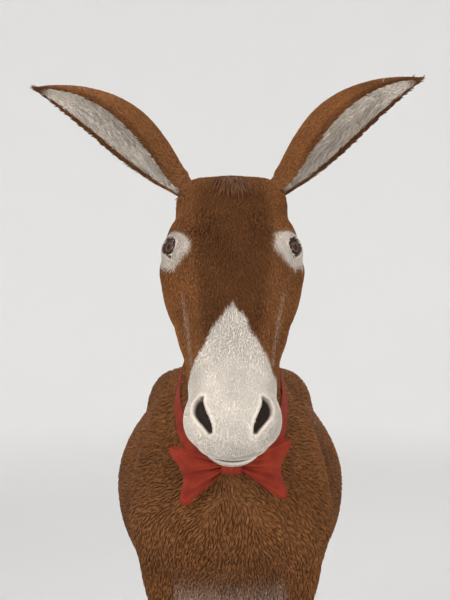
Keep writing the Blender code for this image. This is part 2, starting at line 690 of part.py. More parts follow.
def band_axes():
    """The band's plane: its direction towards the throat, and the way its width runs."""
    throatwards = np.array([0.0, -math.cos(BAND_LEAN), -math.sin(BAND_LEAN)])
    return throatwards, np.cross(throatwards, (1.0, 0.0, 0.0))


def reach_of_coat(start, direction):
    """How far from a point inside the animal its coat ends in a direction."""
    reach = np.linspace(0.03, 0.30, 271)
    outside = coat_surface(start + reach[:, None] * direction) > 0
    return reach[outside.argmax()]


def band_angles():
    """Angles round the band's centre, from the throat, that are evenly spaced along the band."""
    throatwards, _ = band_axes()
    angles = np.linspace(0.0, 2 * math.pi, 181)
    directions = np.cos(angles)[:, None] * throatwards + np.sin(angles)[:, None] * (1.0, 0.0, 0.0)
    path = np.array([reach_of_coat(np.array(BAND_CENTRE), way) * way for way in directions])
    steps = np.linalg.norm(np.diff(path, axis=0), axis=1)
    arc = np.concatenate([[0.0], np.cumsum(steps)])
    return np.interp(np.linspace(0.0, arc[-1], BAND_SECTIONS, endpoint=False), arc, angles)


def band_rings():
    """The band as sections of four corners, one after the other round the neck."""
    throatwards, widthwise = band_axes()
    rings = []
    for angle in band_angles():
        direction = math.cos(angle) * throatwards + math.sin(angle) * np.array([1.0, 0.0, 0.0])
        edges = [np.array(BAND_CENTRE) + sign * BAND_WIDTH / 2 * widthwise for sign in (-1, 1)]
        reaches = [reach_of_coat(edge, direction) for edge in edges]
        low, high = (edge + reach * direction for edge, reach in zip(edges, reaches))
        sunk, proud = -BAND_SINK * direction, BAND_THICKNESS * direction
        rings.append([low + sunk, high + sunk, high + proud, low + proud])
    return np.array(rings)


def knot_centre():
    """In front of the band at the throat."""
    throatwards, widthwise = band_axes()
    front = np.array(BAND_CENTRE) + reach_of_coat(np.array(BAND_CENTRE), throatwards) * throatwards
    return front + np.array([0.0, -(BAND_THICKNESS + KNOT[2] + 0.004), 0.0])


def oval_section(x, centre, height, depth, sides):
    """An oval across the x axis."""
    angle = np.linspace(0.0, 2 * math.pi, sides, endpoint=False)
    return np.column_stack([
        0 * angle + x,
        centre[1] + depth * np.sin(angle),
        centre[2] + height * np.cos(angle),
    ])


def knot_rings():
    centre = knot_centre()
    width, height, depth = KNOT
    shares = ((-1.0, 0.80), (-0.75, 0.96), (0.0, 1.0), (0.75, 0.96), (1.0, 0.80))
    return np.array([
        oval_section(share * width, centre, swell * height, swell * depth, 2 * LOOP_SIDES)
        for share, swell in shares
    ])


def bow_loop_rings(sign):
    """A loop as ovals, each along an arc round the knot that bends out towards the notched edge."""
    centre = knot_centre()
    turn = np.linspace(0.0, 2 * math.pi, 2 * LOOP_SIDES, endpoint=False)
    side = np.cos(turn)
    edge = LOOP_NOTCH + (LOOP_TIP - LOOP_NOTCH) * side**2
    angle = sign * BOW_TILT - LOOP_DROOP + LOOP_SPREAD * side
    start = LOOP_START / np.cos(angle)
    rings = []
    for share in np.linspace(0.0, 1.0, LOOP_ARCS):
        reach = start + (edge - start) * share
        depth = np.interp(share, *zip(*LOOP_DEPTH))
        rings.append(np.column_stack([
            sign * reach * np.cos(angle),
            centre[1] + depth * np.sin(turn),
            centre[2] + reach * np.sin(angle),
        ]))
    return np.array(rings)


def switch_rings():
    rows = smooth_rows(SWITCH, 2)
    angle = np.linspace(0.0, 2 * math.pi, 12, endpoint=False)
    rings = []
    for z, width, fore, aft in rows:
        depth = np.where(np.sin(angle) > 0, fore, aft)
        y = np.interp(z, [0.3, 0.6], [0.745, 0.753])
        rings.append(np.column_stack([width * np.cos(angle), y - depth * np.sin(angle), 0 * angle + z]))
    return np.array(rings)


def ball_object(name, centre, radius, segments=14, rings=9):
    work = bmesh.new()
    bmesh.ops.create_uvsphere(
        work, u_segments=segments, v_segments=rings, radius=radius, matrix=Matrix.Translation(centre)
    )
    mesh = bpy.data.meshes.new(name)
    work.to_mesh(mesh)
    work.free()
    return link(name, mesh)


def eye_gap(centre, sign):
    """The cutter of the gap between the lids: an oval that widens outwards from the eye's middle."""
    aim = unit(np.array([sign * EYE_AIM[0], *EYE_AIM[1:]]) @ HEAD_AXES)
    long_way = unit(DOWN_FACE - (DOWN_FACE @ aim) * aim)
    high_way = np.cross(aim, long_way)
    angle = np.linspace(0.0, 2 * math.pi, 16, endpoint=False)
    oval = (
        EYE_OPENING[0] * np.cos(angle)[:, None] * long_way
        + EYE_OPENING[1] * np.sin(angle)[:, None] * high_way
    )
    far = 2.0 * EYE_RADIUS
    rings = np.array([centre + 0.3 * oval, centre + far * aim + 1.6 * oval])
    return rings_object("gap", [rings])


def mirrored(cut_rows, sign):
    """A leg's cut on the side that the sign stands for."""
    point, normal, low, high = (np.array(row, float) for row in cut_rows)
    if sign < 0:
        for row in (point, normal, low, high):
            row[0] = -row[0]
        low[0], high[0] = high[0], low[0]
    return point, normal, low, high


def open_eye(flesh_body, centre, sign):
    """Parts the lids over an eyeball, and hollows the socket out that it lies in."""
    cut(flesh_body, eye_gap(centre, sign), "DIFFERENCE")
    cut(flesh_body, ball_object("socket", centre, EYE_RADIUS + GAP), "DIFFERENCE")


def end_at_hoof(flesh_body, y):
    """Takes the flesh away below the hairlines of the two hooves whose centres are at y."""
    level = (0.0, y, HOOF_HEIGHT + GAP)
    below = (0.0, -CORONET_SLOPE, -1.0)
    cutter = wedge("cutter", level, below, (-0.3, y - 0.2, -0.1), (0.3, y + 0.2, 0.2), 0.0)
    cut(flesh_body, cutter, "DIFFERENCE")


def make_parts():
    flesh_body = make_flesh()
    shell = grown(flesh_body, "shell", GAP)
    shell.hide_render = True
    shell.display_type = "WIRE"
    for side, sign in SIDES.items():
        cut(rings_object(f"ear_{side}", [ear_rings(side)]), shell, "DIFFERENCE", discard=False)
        centre = head_point(sign * EYE_PLACE[0], *EYE_PLACE[1:])
        ball_object(f"eye_{side}", centre, EYE_RADIUS)
        open_eye(flesh_body, centre, sign)
        rings_object(f"bow_loop_{side}", [bow_loop_rings(sign)])
        for pair in HOOF_CENTRES:
            rings_object(f"hoof_{pair}_{side}", [hoof_rings(pair, sign)])
    mane = cut(rings_object("mane", [mane_rings()]), shell, "DIFFERENCE", discard=False)
    band = rings_object("bow_band", [band_rings()], closed=True)
    cut(band, shell, "DIFFERENCE", discard=False)
    # The band passes through the roots of the mane
    cut(mane, grown(band, "band_room", BAND_ROOM), "DIFFERENCE")
    rings_object("bow_knot", [knot_rings()])
    rings_object("tail_switch", [switch_rings()])
    for _, y in HOOF_CENTRES.values():
        end_at_hoof(flesh_body, y)
    part_off(flesh_body, "head", *HEAD_CUT)
    part_off(flesh_body, "neck", *NECK_CUT)
    tail = part_off(flesh_body, "tail", *TAIL_CUT)
    below_tail = wedge("cutter", (0, 0, TAIL_END), (0, 0, -1), (-FAR, -FAR, -FAR), (FAR, FAR, FAR), 0.0)
    cut(tail, below_tail, "DIFFERENCE")
    for side, sign in SIDES.items():
        for pair, cut_rows in LEG_CUTS.items():
            part_off(flesh_body, f"{pair}_leg_{side}", *mirrored(cut_rows, sign))
    flesh_body.name = "trunk"
    bpy.data.objects.remove(shell, do_unlink=True)


def finish(obj):
    """Gives a node its own material and smooth shading, and moves its origin to its middle."""
    finish_name = next(name for start, name in NODE_FINISHES if obj.name.startswith(start))
    colour, roughness = FINISHES[finish_name]
    material = bpy.data.materials.new(f"{obj.name}_{finish_name}")
    material.use_nodes = True
    shader = material.node_tree.nodes["Principled BSDF"]
    shader.inputs["Base Color"].default_value = (*colour, 1.0)
    shader.inputs["Roughness"].default_value = roughness
    shader.inputs["Metallic"].default_value = 0.0
    obj.data.materials.clear()
    obj.data.materials.append(material)
    obj.data.shade_smooth()
    obj.data.set_sharp_from_angle(angle=SMOOTH_ANGLE)
    points = read_points(obj.data)
    middle = (points.min(0) + points.max(0)) / 2
    write_points(obj.data, points - middle)
    obj.location = middle


def main():
    clear_scene()
    make_parts()
    for obj in bpy.data.objects:
        finish(obj)


if __name__ == "__main__":
    main()
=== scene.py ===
import json
import math

import bmesh
import bpy
import numpy as np
from bpy.props import FloatProperty, FloatVectorProperty, PointerProperty
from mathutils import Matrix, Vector

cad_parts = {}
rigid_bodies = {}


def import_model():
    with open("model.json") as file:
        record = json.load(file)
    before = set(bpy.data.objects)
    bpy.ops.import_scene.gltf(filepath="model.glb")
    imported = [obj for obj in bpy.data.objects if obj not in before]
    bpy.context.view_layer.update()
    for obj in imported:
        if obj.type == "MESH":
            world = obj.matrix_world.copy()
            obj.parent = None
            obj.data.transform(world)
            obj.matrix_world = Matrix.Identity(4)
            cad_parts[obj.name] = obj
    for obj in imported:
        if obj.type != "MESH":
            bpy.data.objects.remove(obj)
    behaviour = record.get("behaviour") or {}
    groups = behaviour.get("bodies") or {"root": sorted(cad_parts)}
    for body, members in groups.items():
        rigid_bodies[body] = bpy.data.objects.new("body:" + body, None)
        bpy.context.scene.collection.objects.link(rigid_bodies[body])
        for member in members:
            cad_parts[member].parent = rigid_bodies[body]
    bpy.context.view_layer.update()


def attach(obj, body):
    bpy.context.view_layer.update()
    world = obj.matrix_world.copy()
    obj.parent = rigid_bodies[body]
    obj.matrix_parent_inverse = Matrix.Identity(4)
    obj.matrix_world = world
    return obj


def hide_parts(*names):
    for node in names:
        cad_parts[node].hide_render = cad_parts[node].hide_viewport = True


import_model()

bl_info = {
    "name": "Standing donkey with a bow",
    "version": (1, 0, 0),
    "blender": (4, 5, 0),
    "location": "3D View > Sidebar > Donkey",
    "description": "Skin, coat, mane, eyes, hooves and bow of a life-size donkey, round its solids",
    "category": "Add Mesh",
}

SIDES = {"left": 1.0, "right": -1.0}  # the sign of x on each side
RANDOM = np.random.default_rng(11)

# ---- Head: a frame of its own, with its root at the poll ----
HEAD_PITCH = math.radians(38.0)  # how far the face leans forward from the vertical
POLL = np.array([0.0, -0.515, 1.500])
DOWN_FACE = np.array([0.0, -math.sin(HEAD_PITCH), -math.cos(HEAD_PITCH)])
OFF_FACE = np.array([0.0, -math.cos(HEAD_PITCH), math.sin(HEAD_PITCH)])
HEAD_AXES = np.array([(1.0, 0.0, 0.0), DOWN_FACE, OFF_FACE])
ACROSS = np.array([1.0, 0.0, 0.0])

EYE_RADIUS = 0.0215
EYE_PLACE = (0.0935, 0.146, -0.010)  # across, down the face, off the face
EYE_AIM = (0.66, 0.12, 0.74)  # the way the eye looks: across, down and off the face
LID = 0.0030  # how far the lids stand off the eyeball
EYE_OPENING = (0.0190, 0.0130, 0.0106)  # half length, and height over and under the middle

# ---- Stations of the limbs ----
# Every limb's section is round, with a squareness of 2 both ways, where a row leaves that out.
# Trunk: y, z, half width, height over and under the axis, squareness over and under it.
TRUNK = (
    (-0.385, 0.865, 0.050, 0.055, 0.060),
    (-0.360, 0.868, 0.105, 0.110, 0.115),
    (-0.305, 0.875, 0.150, 0.180, 0.180),
    (-0.215, 0.885, 0.170, 0.235, 0.235, 1.8, 2.1),
    (-0.115, 0.882, 0.190, 0.255, 0.252, 1.7, 2.1),
    (0.005, 0.868, 0.224, 0.250, 0.255, 1.8, 2.1),
    (0.135, 0.855, 0.256, 0.244, 0.258, 1.9, 2.1),
    (0.265, 0.860, 0.254, 0.252, 0.250, 1.9, 2.1),
    (0.385, 0.888, 0.218, 0.254, 0.225),
    (0.475, 0.915, 0.186, 0.232, 0.185),
    (0.565, 0.925, 0.158, 0.192, 0.160),
    (0.640, 0.920, 0.112, 0.135, 0.125),
    (0.683, 0.910, 0.050, 0.060, 0.060),
)
# Neck: y, z, half width, depth on the crest's side and on the throat's, squareness of both.
NECK = (
    (-0.065, 0.890, 0.140, 0.180, 0.220),
    (-0.155, 0.995, 0.122, 0.165, 0.200, 1.9, 2.0),
    (-0.230, 1.110, 0.098, 0.140, 0.165, 1.8, 2.0),
    (-0.290, 1.220, 0.080, 0.117, 0.132, 1.8, 2.1),
    (-0.343, 1.318, 0.071, 0.100, 0.110, 1.9, 2.1),
    (-0.405, 1.395, 0.066, 0.084, 0.095),
    (-0.470, 1.440, 0.048, 0.054, 0.064),
)
# Head: down the face, off the face, half width, depth over and under, squareness over and under.
HEAD = (
    (-0.040, -0.085, 0.028, 0.030, 0.035),
    (-0.014, -0.074, 0.066, 0.060, 0.052, 2.2, 2.0),
    (0.030, -0.060, 0.088, 0.069, 0.094, 2.4, 2.0),
    (0.080, -0.048, 0.103, 0.071, 0.132, 2.5, 2.0),
    (0.130, -0.038, 0.111, 0.064, 0.154, 2.5, 2.0),
    (0.180, -0.042, 0.110, 0.064, 0.148, 2.3, 2.0),
    (0.230, -0.050, 0.101, 0.064, 0.126, 2.1, 2.0),
    (0.290, -0.056, 0.086, 0.061, 0.097, 2.1, 2.1),
    (0.350, -0.058, 0.074, 0.056, 0.074, 2.2, 2.2),
    (0.410, -0.058, 0.069, 0.052, 0.063, 2.4, 2.3),
    (0.450, -0.060, 0.070, 0.049, 0.060, 2.5, 2.4),
    (0.476, -0.064, 0.062, 0.042, 0.049, 2.3, 2.2),
    (0.492, -0.066, 0.040, 0.024, 0.030),
)
# Legs: x, y, z, half width, depth before and behind the axis, squareness of both.
FORE_LEG = (
    (0.075, -0.160, 1.000, 0.030, 0.035, 0.045),
    (0.100, -0.190, 0.930, 0.060, 0.090, 0.105),
    (0.118, -0.215, 0.840, 0.064, 0.110, 0.120),
    (0.122, -0.195, 0.745, 0.058, 0.086, 0.098),
    (0.116, -0.173, 0.660, 0.048, 0.058, 0.066),
    (0.111, -0.170, 0.560, 0.040, 0.045, 0.049),
    (0.107, -0.170, 0.460, 0.033, 0.035, 0.036, 2.2, 2.0),
    (0.105, -0.172, 0.385, 0.036, 0.036, 0.036, 2.5, 2.2),
    (0.104, -0.170, 0.325, 0.027, 0.028, 0.033, 2.2, 2.0),
    (0.104, -0.169, 0.250, 0.0215, 0.0225, 0.028),
    (0.104, -0.169, 0.180, 0.0220, 0.0225, 0.029),
    (0.104, -0.171, 0.135, 0.030, 0.029, 0.035),
    (0.104, -0.189, 0.098, 0.0265, 0.026, 0.028),
    (0.104, -0.207, 0.065, 0.035, 0.034, 0.036, 2.2, 2.0),
    (0.104, -0.215, 0.045, 0.036, 0.036, 0.036, 2.2, 2.0),
)
HIND_LEG = (
    (0.070, 0.520, 0.980, 0.035, 0.050, 0.060),
    (0.100, 0.515, 0.900, 0.082, 0.135, 0.150),
    (0.125, 0.495, 0.810, 0.078, 0.140, 0.150),
    (0.130, 0.485, 0.710, 0.064, 0.112, 0.108),
    (0.124, 0.507, 0.610, 0.048, 0.066, 0.070),
    (0.116, 0.537, 0.530, 0.036, 0.045, 0.054, 2.0, 1.8),
    (0.111, 0.561, 0.460, 0.034, 0.040, 0.052, 2.3, 1.8),
    (0.109, 0.565, 0.395, 0.028, 0.032, 0.036, 2.2, 1.8),
    (0.108, 0.565, 0.290, 0.0225, 0.024, 0.028),
    (0.107, 0.564, 0.195, 0.0225, 0.024, 0.029),
    (0.107, 0.561, 0.145, 0.030, 0.030, 0.036),
    (0.107, 0.543, 0.103, 0.0265, 0.026, 0.028),
    (0.107, 0.525, 0.068, 0.035, 0.033, 0.035, 2.2, 2.0),
    (0.107, 0.517, 0.047, 0.036, 0.036, 0.036, 2.2, 2.0),
)
# Dock of the tail: y, z, half width, depth before and behind the axis.
DOCK = (
    (0.615, 1.030, 0.030, 0.030, 0.030),
    (0.685, 1.022, 0.030, 0.028, 0.030),
    (0.735, 0.972, 0.028, 0.024, 0.027),
    (0.757, 0.880, 0.024, 0.021, 0.023),
    (0.761, 0.770, 0.020, 0.018, 0.019),
    (0.756, 0.660, 0.017, 0.017, 0.017),
    (0.752, 0.560, 0.016, 0.016, 0.016),
)
# Muscles and bones that show on the body, each on both sides: centre, radii, fillet.
BODY_BALLS = (
    ((0.055, -0.320, 0.865), (0.065, 0.065, 0.085), 0.06),  # breast
    ((0.152, 0.392, 1.035), (0.030, 0.050, 0.040), 0.09),  # point of the hip
    ((0.075, 0.605, 0.900), (0.070, 0.075, 0.115), 0.05),  # buttock
    ((0.145, 0.390, 0.735), (0.040, 0.045, 0.055), 0.05),  # stifle
    ((0.130, -0.100, 0.700), (0.024, 0.030, 0.038), 0.05),  # elbow
    ((0.108, -0.137, 0.398), (0.012, 0.014, 0.020), 0.02),  # bone behind the knee
)
# The same as bars: both ends, the radius at each, fillet.
BODY_BARS = (
    ((0.085, -0.105, 1.060), (0.112, -0.260, 0.860), 0.045, 0.064, 0.08),  # shoulder blade
    ((0.110, 0.605, 0.488), (0.112, 0.579, 0.580), 0.014, 0.012, 0.03),  # point of the hock
)
# Muscles and bones of the head: across, down the face and off the face; radii; fillet.
HEAD_BALLS = (
    ((0.066, 0.150, -0.098), (0.044, 0.086, 0.080), 0.05),  # cheek muscle
    ((0.061, 0.008, -0.040), (0.030, 0.034, 0.036), 0.04),  # root of the ear
    ((0.0, 0.466, -0.060), (0.061, 0.047, 0.041), 0.035),  # upper lip
    ((0.0, 0.470, -0.103), (0.045, 0.037, 0.021), 0.012),  # lower lip
    ((0.044, 0.460, -0.040), (0.024, 0.032, 0.026), 0.025),  # wing of the nostril
    ((0.0, 0.446, -0.114), (0.040, 0.032, 0.019), 0.02),  # chin
)
HEAD_BARS = (
    ((0.078, 0.108, -0.006), (0.098, 0.150, 0.002), 0.016, 0.012, 0.03),  # arch over the eye
    ((0.100, 0.165, -0.038), (0.068, 0.300, -0.052), 0.012, 0.008, 0.03),  # crest below the eye
)
# Fillets where the limbs meet the trunk, in the order in which they are joined to it.
LIMB_FILLETS = {"hind_leg": 0.050, "fore_leg": 0.045, "neck": 0.090, "dock": 0.040}
NECK_FILLET = 0.045  # where the head meets the neck
LID_FILLET = 0.012
BODY_MIDDLE = 0.012  # how widely the forms of both sides melt together in the middle of the body
HEAD_MIDDLE = 0.004  # the same in the head
LIMB_PIECES = 4  # pieces of a limb's axis between two rows
ROUND = 2.0  # the squareness of an ellipse
# Ear: share of its length, radius of the rolled leaf, and half the angle that it wraps round.
EAR = (
    (0.00, 0.020, 2.70),
    (0.12, 0.025, 2.45),
    (0.28, 0.043, 2.00),
    (0.45, 0.056, 1.78),
    (0.62, 0.055, 1.62),
    (0.78, 0.042, 1.50),
    (0.90, 0.024, 1.42),
    (0.97, 0.009, 1.42),
    (1.00, 0.003, 1.40),
)
EAR_LENGTH = 0.348
EAR_ROOT = (0.067, -0.002, -0.036)  # across, down the face, off the face
EAR_RISE = {"left": math.radians(37.5), "right": math.radians(34.0)}  # above the horizontal
EAR_OPENING = math.radians(62.0)  # how far the open side is turned from forwards to down
EAR_BOW = 0.018  # how far the ear arches up between its root and its tip
# Hooves: how high up the wall, how far behind the toe's line, half width, depth before and behind.
HOOF_HEIGHT = 0.066
HOOF_RINGS = (
    (0.00, 0.000, 0.0430, 0.052, 0.048),
    (0.06, 0.001, 0.0435, 0.051, 0.048),
    (0.50, 0.008, 0.0395, 0.044, 0.044),
    (0.90, 0.015, 0.0365, 0.038, 0.040),
    (1.00, 0.016, 0.0345, 0.035, 0.038),
)
HOOF_CENTRES = {"fore": (0.104, -0.226), "hind": (0.107, 0.505)}
CORONET_SLOPE = 0.32  # how much lower the hairline is at the heel than at the toe, per metre
# Mane: where along the neck's axis, and how tall it stands.
MANE = ((0.07, 0.016), (0.22, 0.042), (0.42, 0.058), (0.62, 0.052), (0.76, 0.022), (0.82, 0.006))
# Band: a flat ribbon round the neck that hangs lower at the throat, and the bow on it.
BAND_CENTRE = np.array([0.0, -0.270, 1.110])
BAND_LEAN = math.radians(47.0)  # how far its plane dips towards the throat
BAND_WIDTH = 0.026
BAND_THICKNESS = 0.004
KNOT = (0.020, 0.019, 0.013)  # half width, half height, half depth
# Loops of the bow: fans of pinched cloth that spread from the knot, with a notched outer edge.
BOW_TILT = math.radians(4.0)  # how much the bow's left side is raised
LOOP_DROOP = math.radians(8.0)  # how far a loop's middle line hangs below the level
LOOP_SPREAD = math.radians(31.0)  # from a loop's middle line to its edges
LOOP_START = 0.0205  # how far out of the knot's middle a loop starts
LOOP_NOTCH = 0.092  # how far from the knot's middle the notch is
LOOP_TIP = 0.126  # and the tips of the edges
# Switch of the tail: z, half width, depth before and behind.
SWITCH = (
    (0.618, 0.018, 0.018, 0.019),
    (0.570, 0.026, 0.024, 0.026),
    (0.500, 0.034, 0.029, 0.031),
    (0.420, 0.034, 0.028, 0.030),
    (0.350, 0.022, 0.018, 0.020),
    (0.310, 0.006, 0.006, 0.006),
)
# Creases of the lids: whether over the eye, and their depth, distance from the gap and width.
LID_CREASES = (
    (True, 0.0014, -0.0062, 0.0012),
    (True, 0.0009, -0.0105, 0.0012),
    (False, 0.0009, -0.0050, 0.0011),
    (False, 0.0006, -0.0088, 0.0011),
)
# Nostril: points along its bent slit across, down and off the face, and its radius there.
NOSTRIL = (
    (0.0470, 0.440, -0.016, 0.0046),
    (0.0505, 0.450, -0.018, 0.0082),
    (0.0480, 0.462, -0.022, 0.0102),
    (0.0410, 0.473, -0.028, 0.0084),
    (0.0335, 0.481, -0.036, 0.0046),
)
# Hollows of the head: across, down and off the face; radii; fillet.
HEAD_HOLLOWS = (
    ((0.0, 0.260, -0.190), (0.022, 0.130, 0.050), 0.030),  # between the jaws
    ((0.060, 0.106, 0.030), (0.020, 0.024, 0.016), 0.020),  # over the eye
)
# Grooves between bone and tendon of the legs: both ends, and the radius.
LEG_GROOVES = (
    ((0.104, -0.158, 0.345), (0.104, -0.157, 0.175), 0.0060),
    ((0.108, 0.577, 0.380), (0.107, 0.576, 0.185), 0.0060),
)
MOUTH_FRONT = (0.505, -0.092)  # down and off the face, where the lips meet in front
MOUTH_RISE = 0.10  # how much the mouth line rises on its way back to the corners
MOUTH_CORNER = 0.410  # how far down the face the corners are
# Meshing of the body: the cells' edges in turn, and whether the creases are worn down after it.
BODY_CELLS = ((0.013, True), (0.011, True), (0.010, False))
LIMB_SIDES = 24  # sides of the first tubes
EVENING = 0.6  # how far a point goes towards its neighbours' mean each time
KNEE_TOP = 0.47  # the legs have finer faces under this height
CHUNK = 16384  # how many points are worked on at a time
EARS_OUT = 0.003  # points of the skin that are this far over the flesh are the ears'
# Coat: how far apart the tufts are, how long and wide they are, and how high their tips stand.
COAT_SIZES = {
    "body": (0.0061, 0.0250, 0.0038, 0.0052),
    "neck": (0.0050, 0.0200, 0.0032, 0.0048),
    "leg": (0.0048, 0.0130, 0.0029, 0.0026),
    "head": (0.0030, 0.0112, 0.0021, 0.0022),
    "muzzle": (0.0021, 0.0054, 0.0015, 0.0011),
    "lids": (0.0020, 0.0042, 0.0013, 0.0008),
    "ears": (0.0030, 0.0100, 0.0024, 0.0015),
}
# The way the hair lies on each limb but the head.
HAIR_WAYS = {
    "trunk": (0.0, 1.0, -0.45),
    "neck": (0.0, 0.62, -0.78),
    "fore_leg": (0.0, 0.12, -1.0),
    "hind_leg": (0.0, 0.10, -1.0),
    "dock": (0.0, 0.15, -1.0),
}
TUFT_LIFT = (-0.30, 0.66, 1.0)  # height of a tuft's root, middle and tip, as shares of its tip's
PATCH = 0.003  # how much of the map one tuft takes up
COAT = 0.008  # depth of the coat of the body, which the solids' outline has
EAR_COAT = 0.0017  # depth of the coat on each face of an ear
EAR_SKIN = 0.0031  # thickness of the skin of an ear
# How far down the face the pale muzzle starts, and how much lower it starts at its sides.
MUZZLE_EDGE = (0.265, 0.105)
# The way the band's plane dips to the throat, and the way across the band.
BAND_DOWN = np.array([0.0, -math.cos(BAND_LEAN), -math.sin(BAND_LEAN)])
BAND_WIDTHWISE = np.cross(BAND_DOWN, ACROSS)
BAND_CLOTH = 0.0022  # thickness of the cloth of the band and the knot
LOOP_CLOTH = 0.0018
BAND_LIFT = 0.0052  # how far the middle of the band's cloth is over the skin
LOOP_BULGE = 0.0085  # how far each layer of a loop stands from its middle
# Long hair: how many strands, how wide they are at least and at most, and the widths of their
# sections from root to tip, as shares.
LONG_HAIR = {
    "mane": (2600, 0.0026, 0.0042, (1.0, 0.9, 0.6)),
    "forelock": (220, 0.0018, 0.0030, (1.0, 0.85, 0.55)),
    "switch": (900, 0.0035, 0.0070, (0.8, 1.0, 1.0, 0.9, 0.7, 0.45)),
    "ear": (1100, 0.0010, 0.0019, (1.0, 0.8, 0.5)),
    "lashes": (44, 0.00085, 0.00085, (1.0, 0.9, 0.7, 0.45)),
}
HOOF_SIDES = 96
HOOF_GROWTH = (0.00035, 13)  # how high the growth rings stand, and how many there are
# Hollow of a hoof's sole: rings as shares of the bearing edge, and how high they are.
HOOF_SOLE = ((0.10, 0.0060), (0.45, 0.0055), (0.74, 0.0030), (0.83, 0.0004), (0.87, 0.0))
BAND_GRID = (200, 15)  # points of the band's cloth round the neck and over its width
PUPIL = (0.004, 0.004, 0.005)
VEIN = (0.42, 0.12, 0.08)
THREAD = 0.0011  # from one thread of the cloth to the next but one
STAGE = 9.0  # how far the backdrop's bend starts from the middle, and its radius
WORLD_STRENGTH = 1.42
# Lights: name, place, target, diameter and watts.
LIGHTS = (
    ("key_light", (-2.6, -4.2, 3.6), (0.0, -0.5, 1.2), 2.4, 150.0),
    ("fill_light", (3.4, -3.4, 2.2), (0.0, -0.5, 1.1), 2.8, 45.0),
    ("low_light", (0.5, -4.6, 0.35), (0.0, -0.6, 1.4), 2.6, 78.0),
    ("back_light", (1.6, 3.6, 3.4), (0.0, 0.2, 1.2), 2.2, 35.0),
)
TRUNK_SPLIT = 0.22  # y where the coat of the trunk is parted
# The pale line under each eye is a painted highlight along the crest below the eye.
STREAK = ((0.088, 0.180, -0.008), (0.064, 0.360, -0.030))  # ends of the pale line under the eye
FLESH_NODES = (
    "trunk", "neck", "head", "tail", "fore_leg_left", "fore_leg_right", "hind_leg_left",
    "hind_leg_right", "ear_left", "ear_right",
)


# ---- Curves and fields ----
def smooth_rows(rows, pieces):
    """Rows joined by cubics whose slope at a row is half the step between its neighbours."""
    rows = np.asarray(rows, float)
    ends = np.vstack([2 * rows[0] - rows[1], rows, 2 * rows[-1] - rows[-2]])
    t = np.linspace(0.0, 1.0, pieces, endpoint=False)[:, None]
    spans = [
        b + 0.5 * t * (c - a + t * (2 * a - 5 * b + 4 * c - d + t * (3 * (b - c) + d - a)))
        for a, b, c, d in zip(ends[:-3], ends[1:-2], ends[2:-1], ends[3:])
    ]
    return np.vstack([*spans, rows[-1:]])


def unit(vectors):
    return vectors / np.maximum(np.linalg.norm(vectors, axis=-1, keepdims=True), 1e-12)


def even(count):
    """This many even shares from 0 to 1."""
    return np.linspace(0.0, 1.0, count)


def full_turn(count):
    """This many even angles round a circle."""
    return np.linspace(0.0, 2 * math.pi, count, endpoint=False)


def grid_of(x, y, z):
    """A grid of points from its coordinates, each of which may vary one way only."""
    return np.stack(np.broadcast_arrays(x, y, z), axis=2)


class Limb:
    """A round form along a curved axis: at each place its section is half of one superellipse on
    the front of the axis and half of another behind it, both as wide as each other."""

    def __init__(self, stations, front):
        rows = smooth_rows(stations, LIMB_PIECES)
        self.axis = rows[:, :3]
        self.form = rows[:, 3:]
        self.along = unit(np.gradient(self.axis, axis=0))
        steps = np.linalg.norm(np.diff(self.axis, axis=0), axis=1)
        self.arc = np.concatenate([[0.0], np.cumsum(steps)])
        self.side = unit(ACROSS - self.along * self.along[:, :1])
        self.front = np.cross(self.along, self.side)
        self.front *= np.sign((self.front @ np.asarray(front, float)).sum())

    def distance(self, points):
        """Roughly the distance from the surface, negative inside. A point belongs to the place
        whose plane square to the axis passes through it, and past an end to that end."""
        ahead = points @ self.along.T - (self.axis * self.along).sum(1)
        reach = (points**2).sum(1)[:, None] - 2 * points @ self.axis.T + (self.axis**2).sum(1)
        between = (ahead[:, :-1] >= 0) & (ahead[:, 1:] < 0)
        cost = np.where(between, 0.0, 1e3) + np.minimum(reach[:, :-1], reach[:, 1:])
        near = cost.argmin(1)
        row = np.arange(len(points))
        inner = between[row, near]
        low, high = ahead[row, near], ahead[row, near + 1]
        past_end = np.where(low < 0, 0.0, 1.0)
        t = np.where(inner, low / np.maximum(low - high, 1e-9), past_end)[:, None]

        def at(values):
            return values[near] * (1 - t) + values[near + 1] * t

        off = points - at(self.axis)
        x = (off * unit(at(self.side))).sum(-1)
        z = (off * unit(at(self.front))).sum(-1)
        past = (off * unit(at(self.along))).sum(-1)
        arc = at(self.arc[:, None])[:, 0]
        width, fore, aft, fore_power, aft_power = at(self.form).T
        depth = np.where(z > 0, fore, aft)
        power = np.where(z > 0, fore_power, aft_power)
        ratio = (np.abs(x / width) ** power + np.abs(z / depth) ** power) ** (1 / power)
        gap = np.hypot(x, z) * (1 - 1 / np.maximum(ratio, 1e-6))
        gap = np.where(ratio < 1e-3, -np.minimum(width, depth), gap)
        within = np.maximum(gap, -np.minimum(arc, self.arc[-1] - arc))
        return np.where(inner, within, np.hypot(np.maximum(gap, 0.0), past))

    def rings(self, sides):
        """The sections as rings of points, for a first closed mesh."""
        angle = full_turn(sides)
        cosine, sine = np.cos(angle), np.sin(angle)
        width, fore, aft, fore_power, aft_power = (column[:, None] for column in self.form.T)
        power = np.where(sine > 0, fore_power, aft_power)
        x = width * np.sign(cosine) * np.abs(cosine) ** (2 / power)
        z = np.where(sine > 0, fore, aft) * np.sign(sine) * np.abs(sine) ** (2 / power)
        sideways = x[..., None] * self.side[:, None]
        return self.axis[:, None] + sideways + z[..., None] * self.front[:, None]


def head_point(across, down, off):
    """A point of the head, from its distances across, down and off the face."""
    return POLL + np.array([across, 0.0, 0.0]) + down * DOWN_FACE + off * OFF_FACE


def stations(rows, place, lead):
    """A limb's rows in full: the point that place makes of the first lead numbers, three measures
    of the section, and its squareness on both sides of the axis."""
    return [(*place(*row[:lead]), *(*row[lead:], ROUND, ROUND)[:5]) for row in rows]


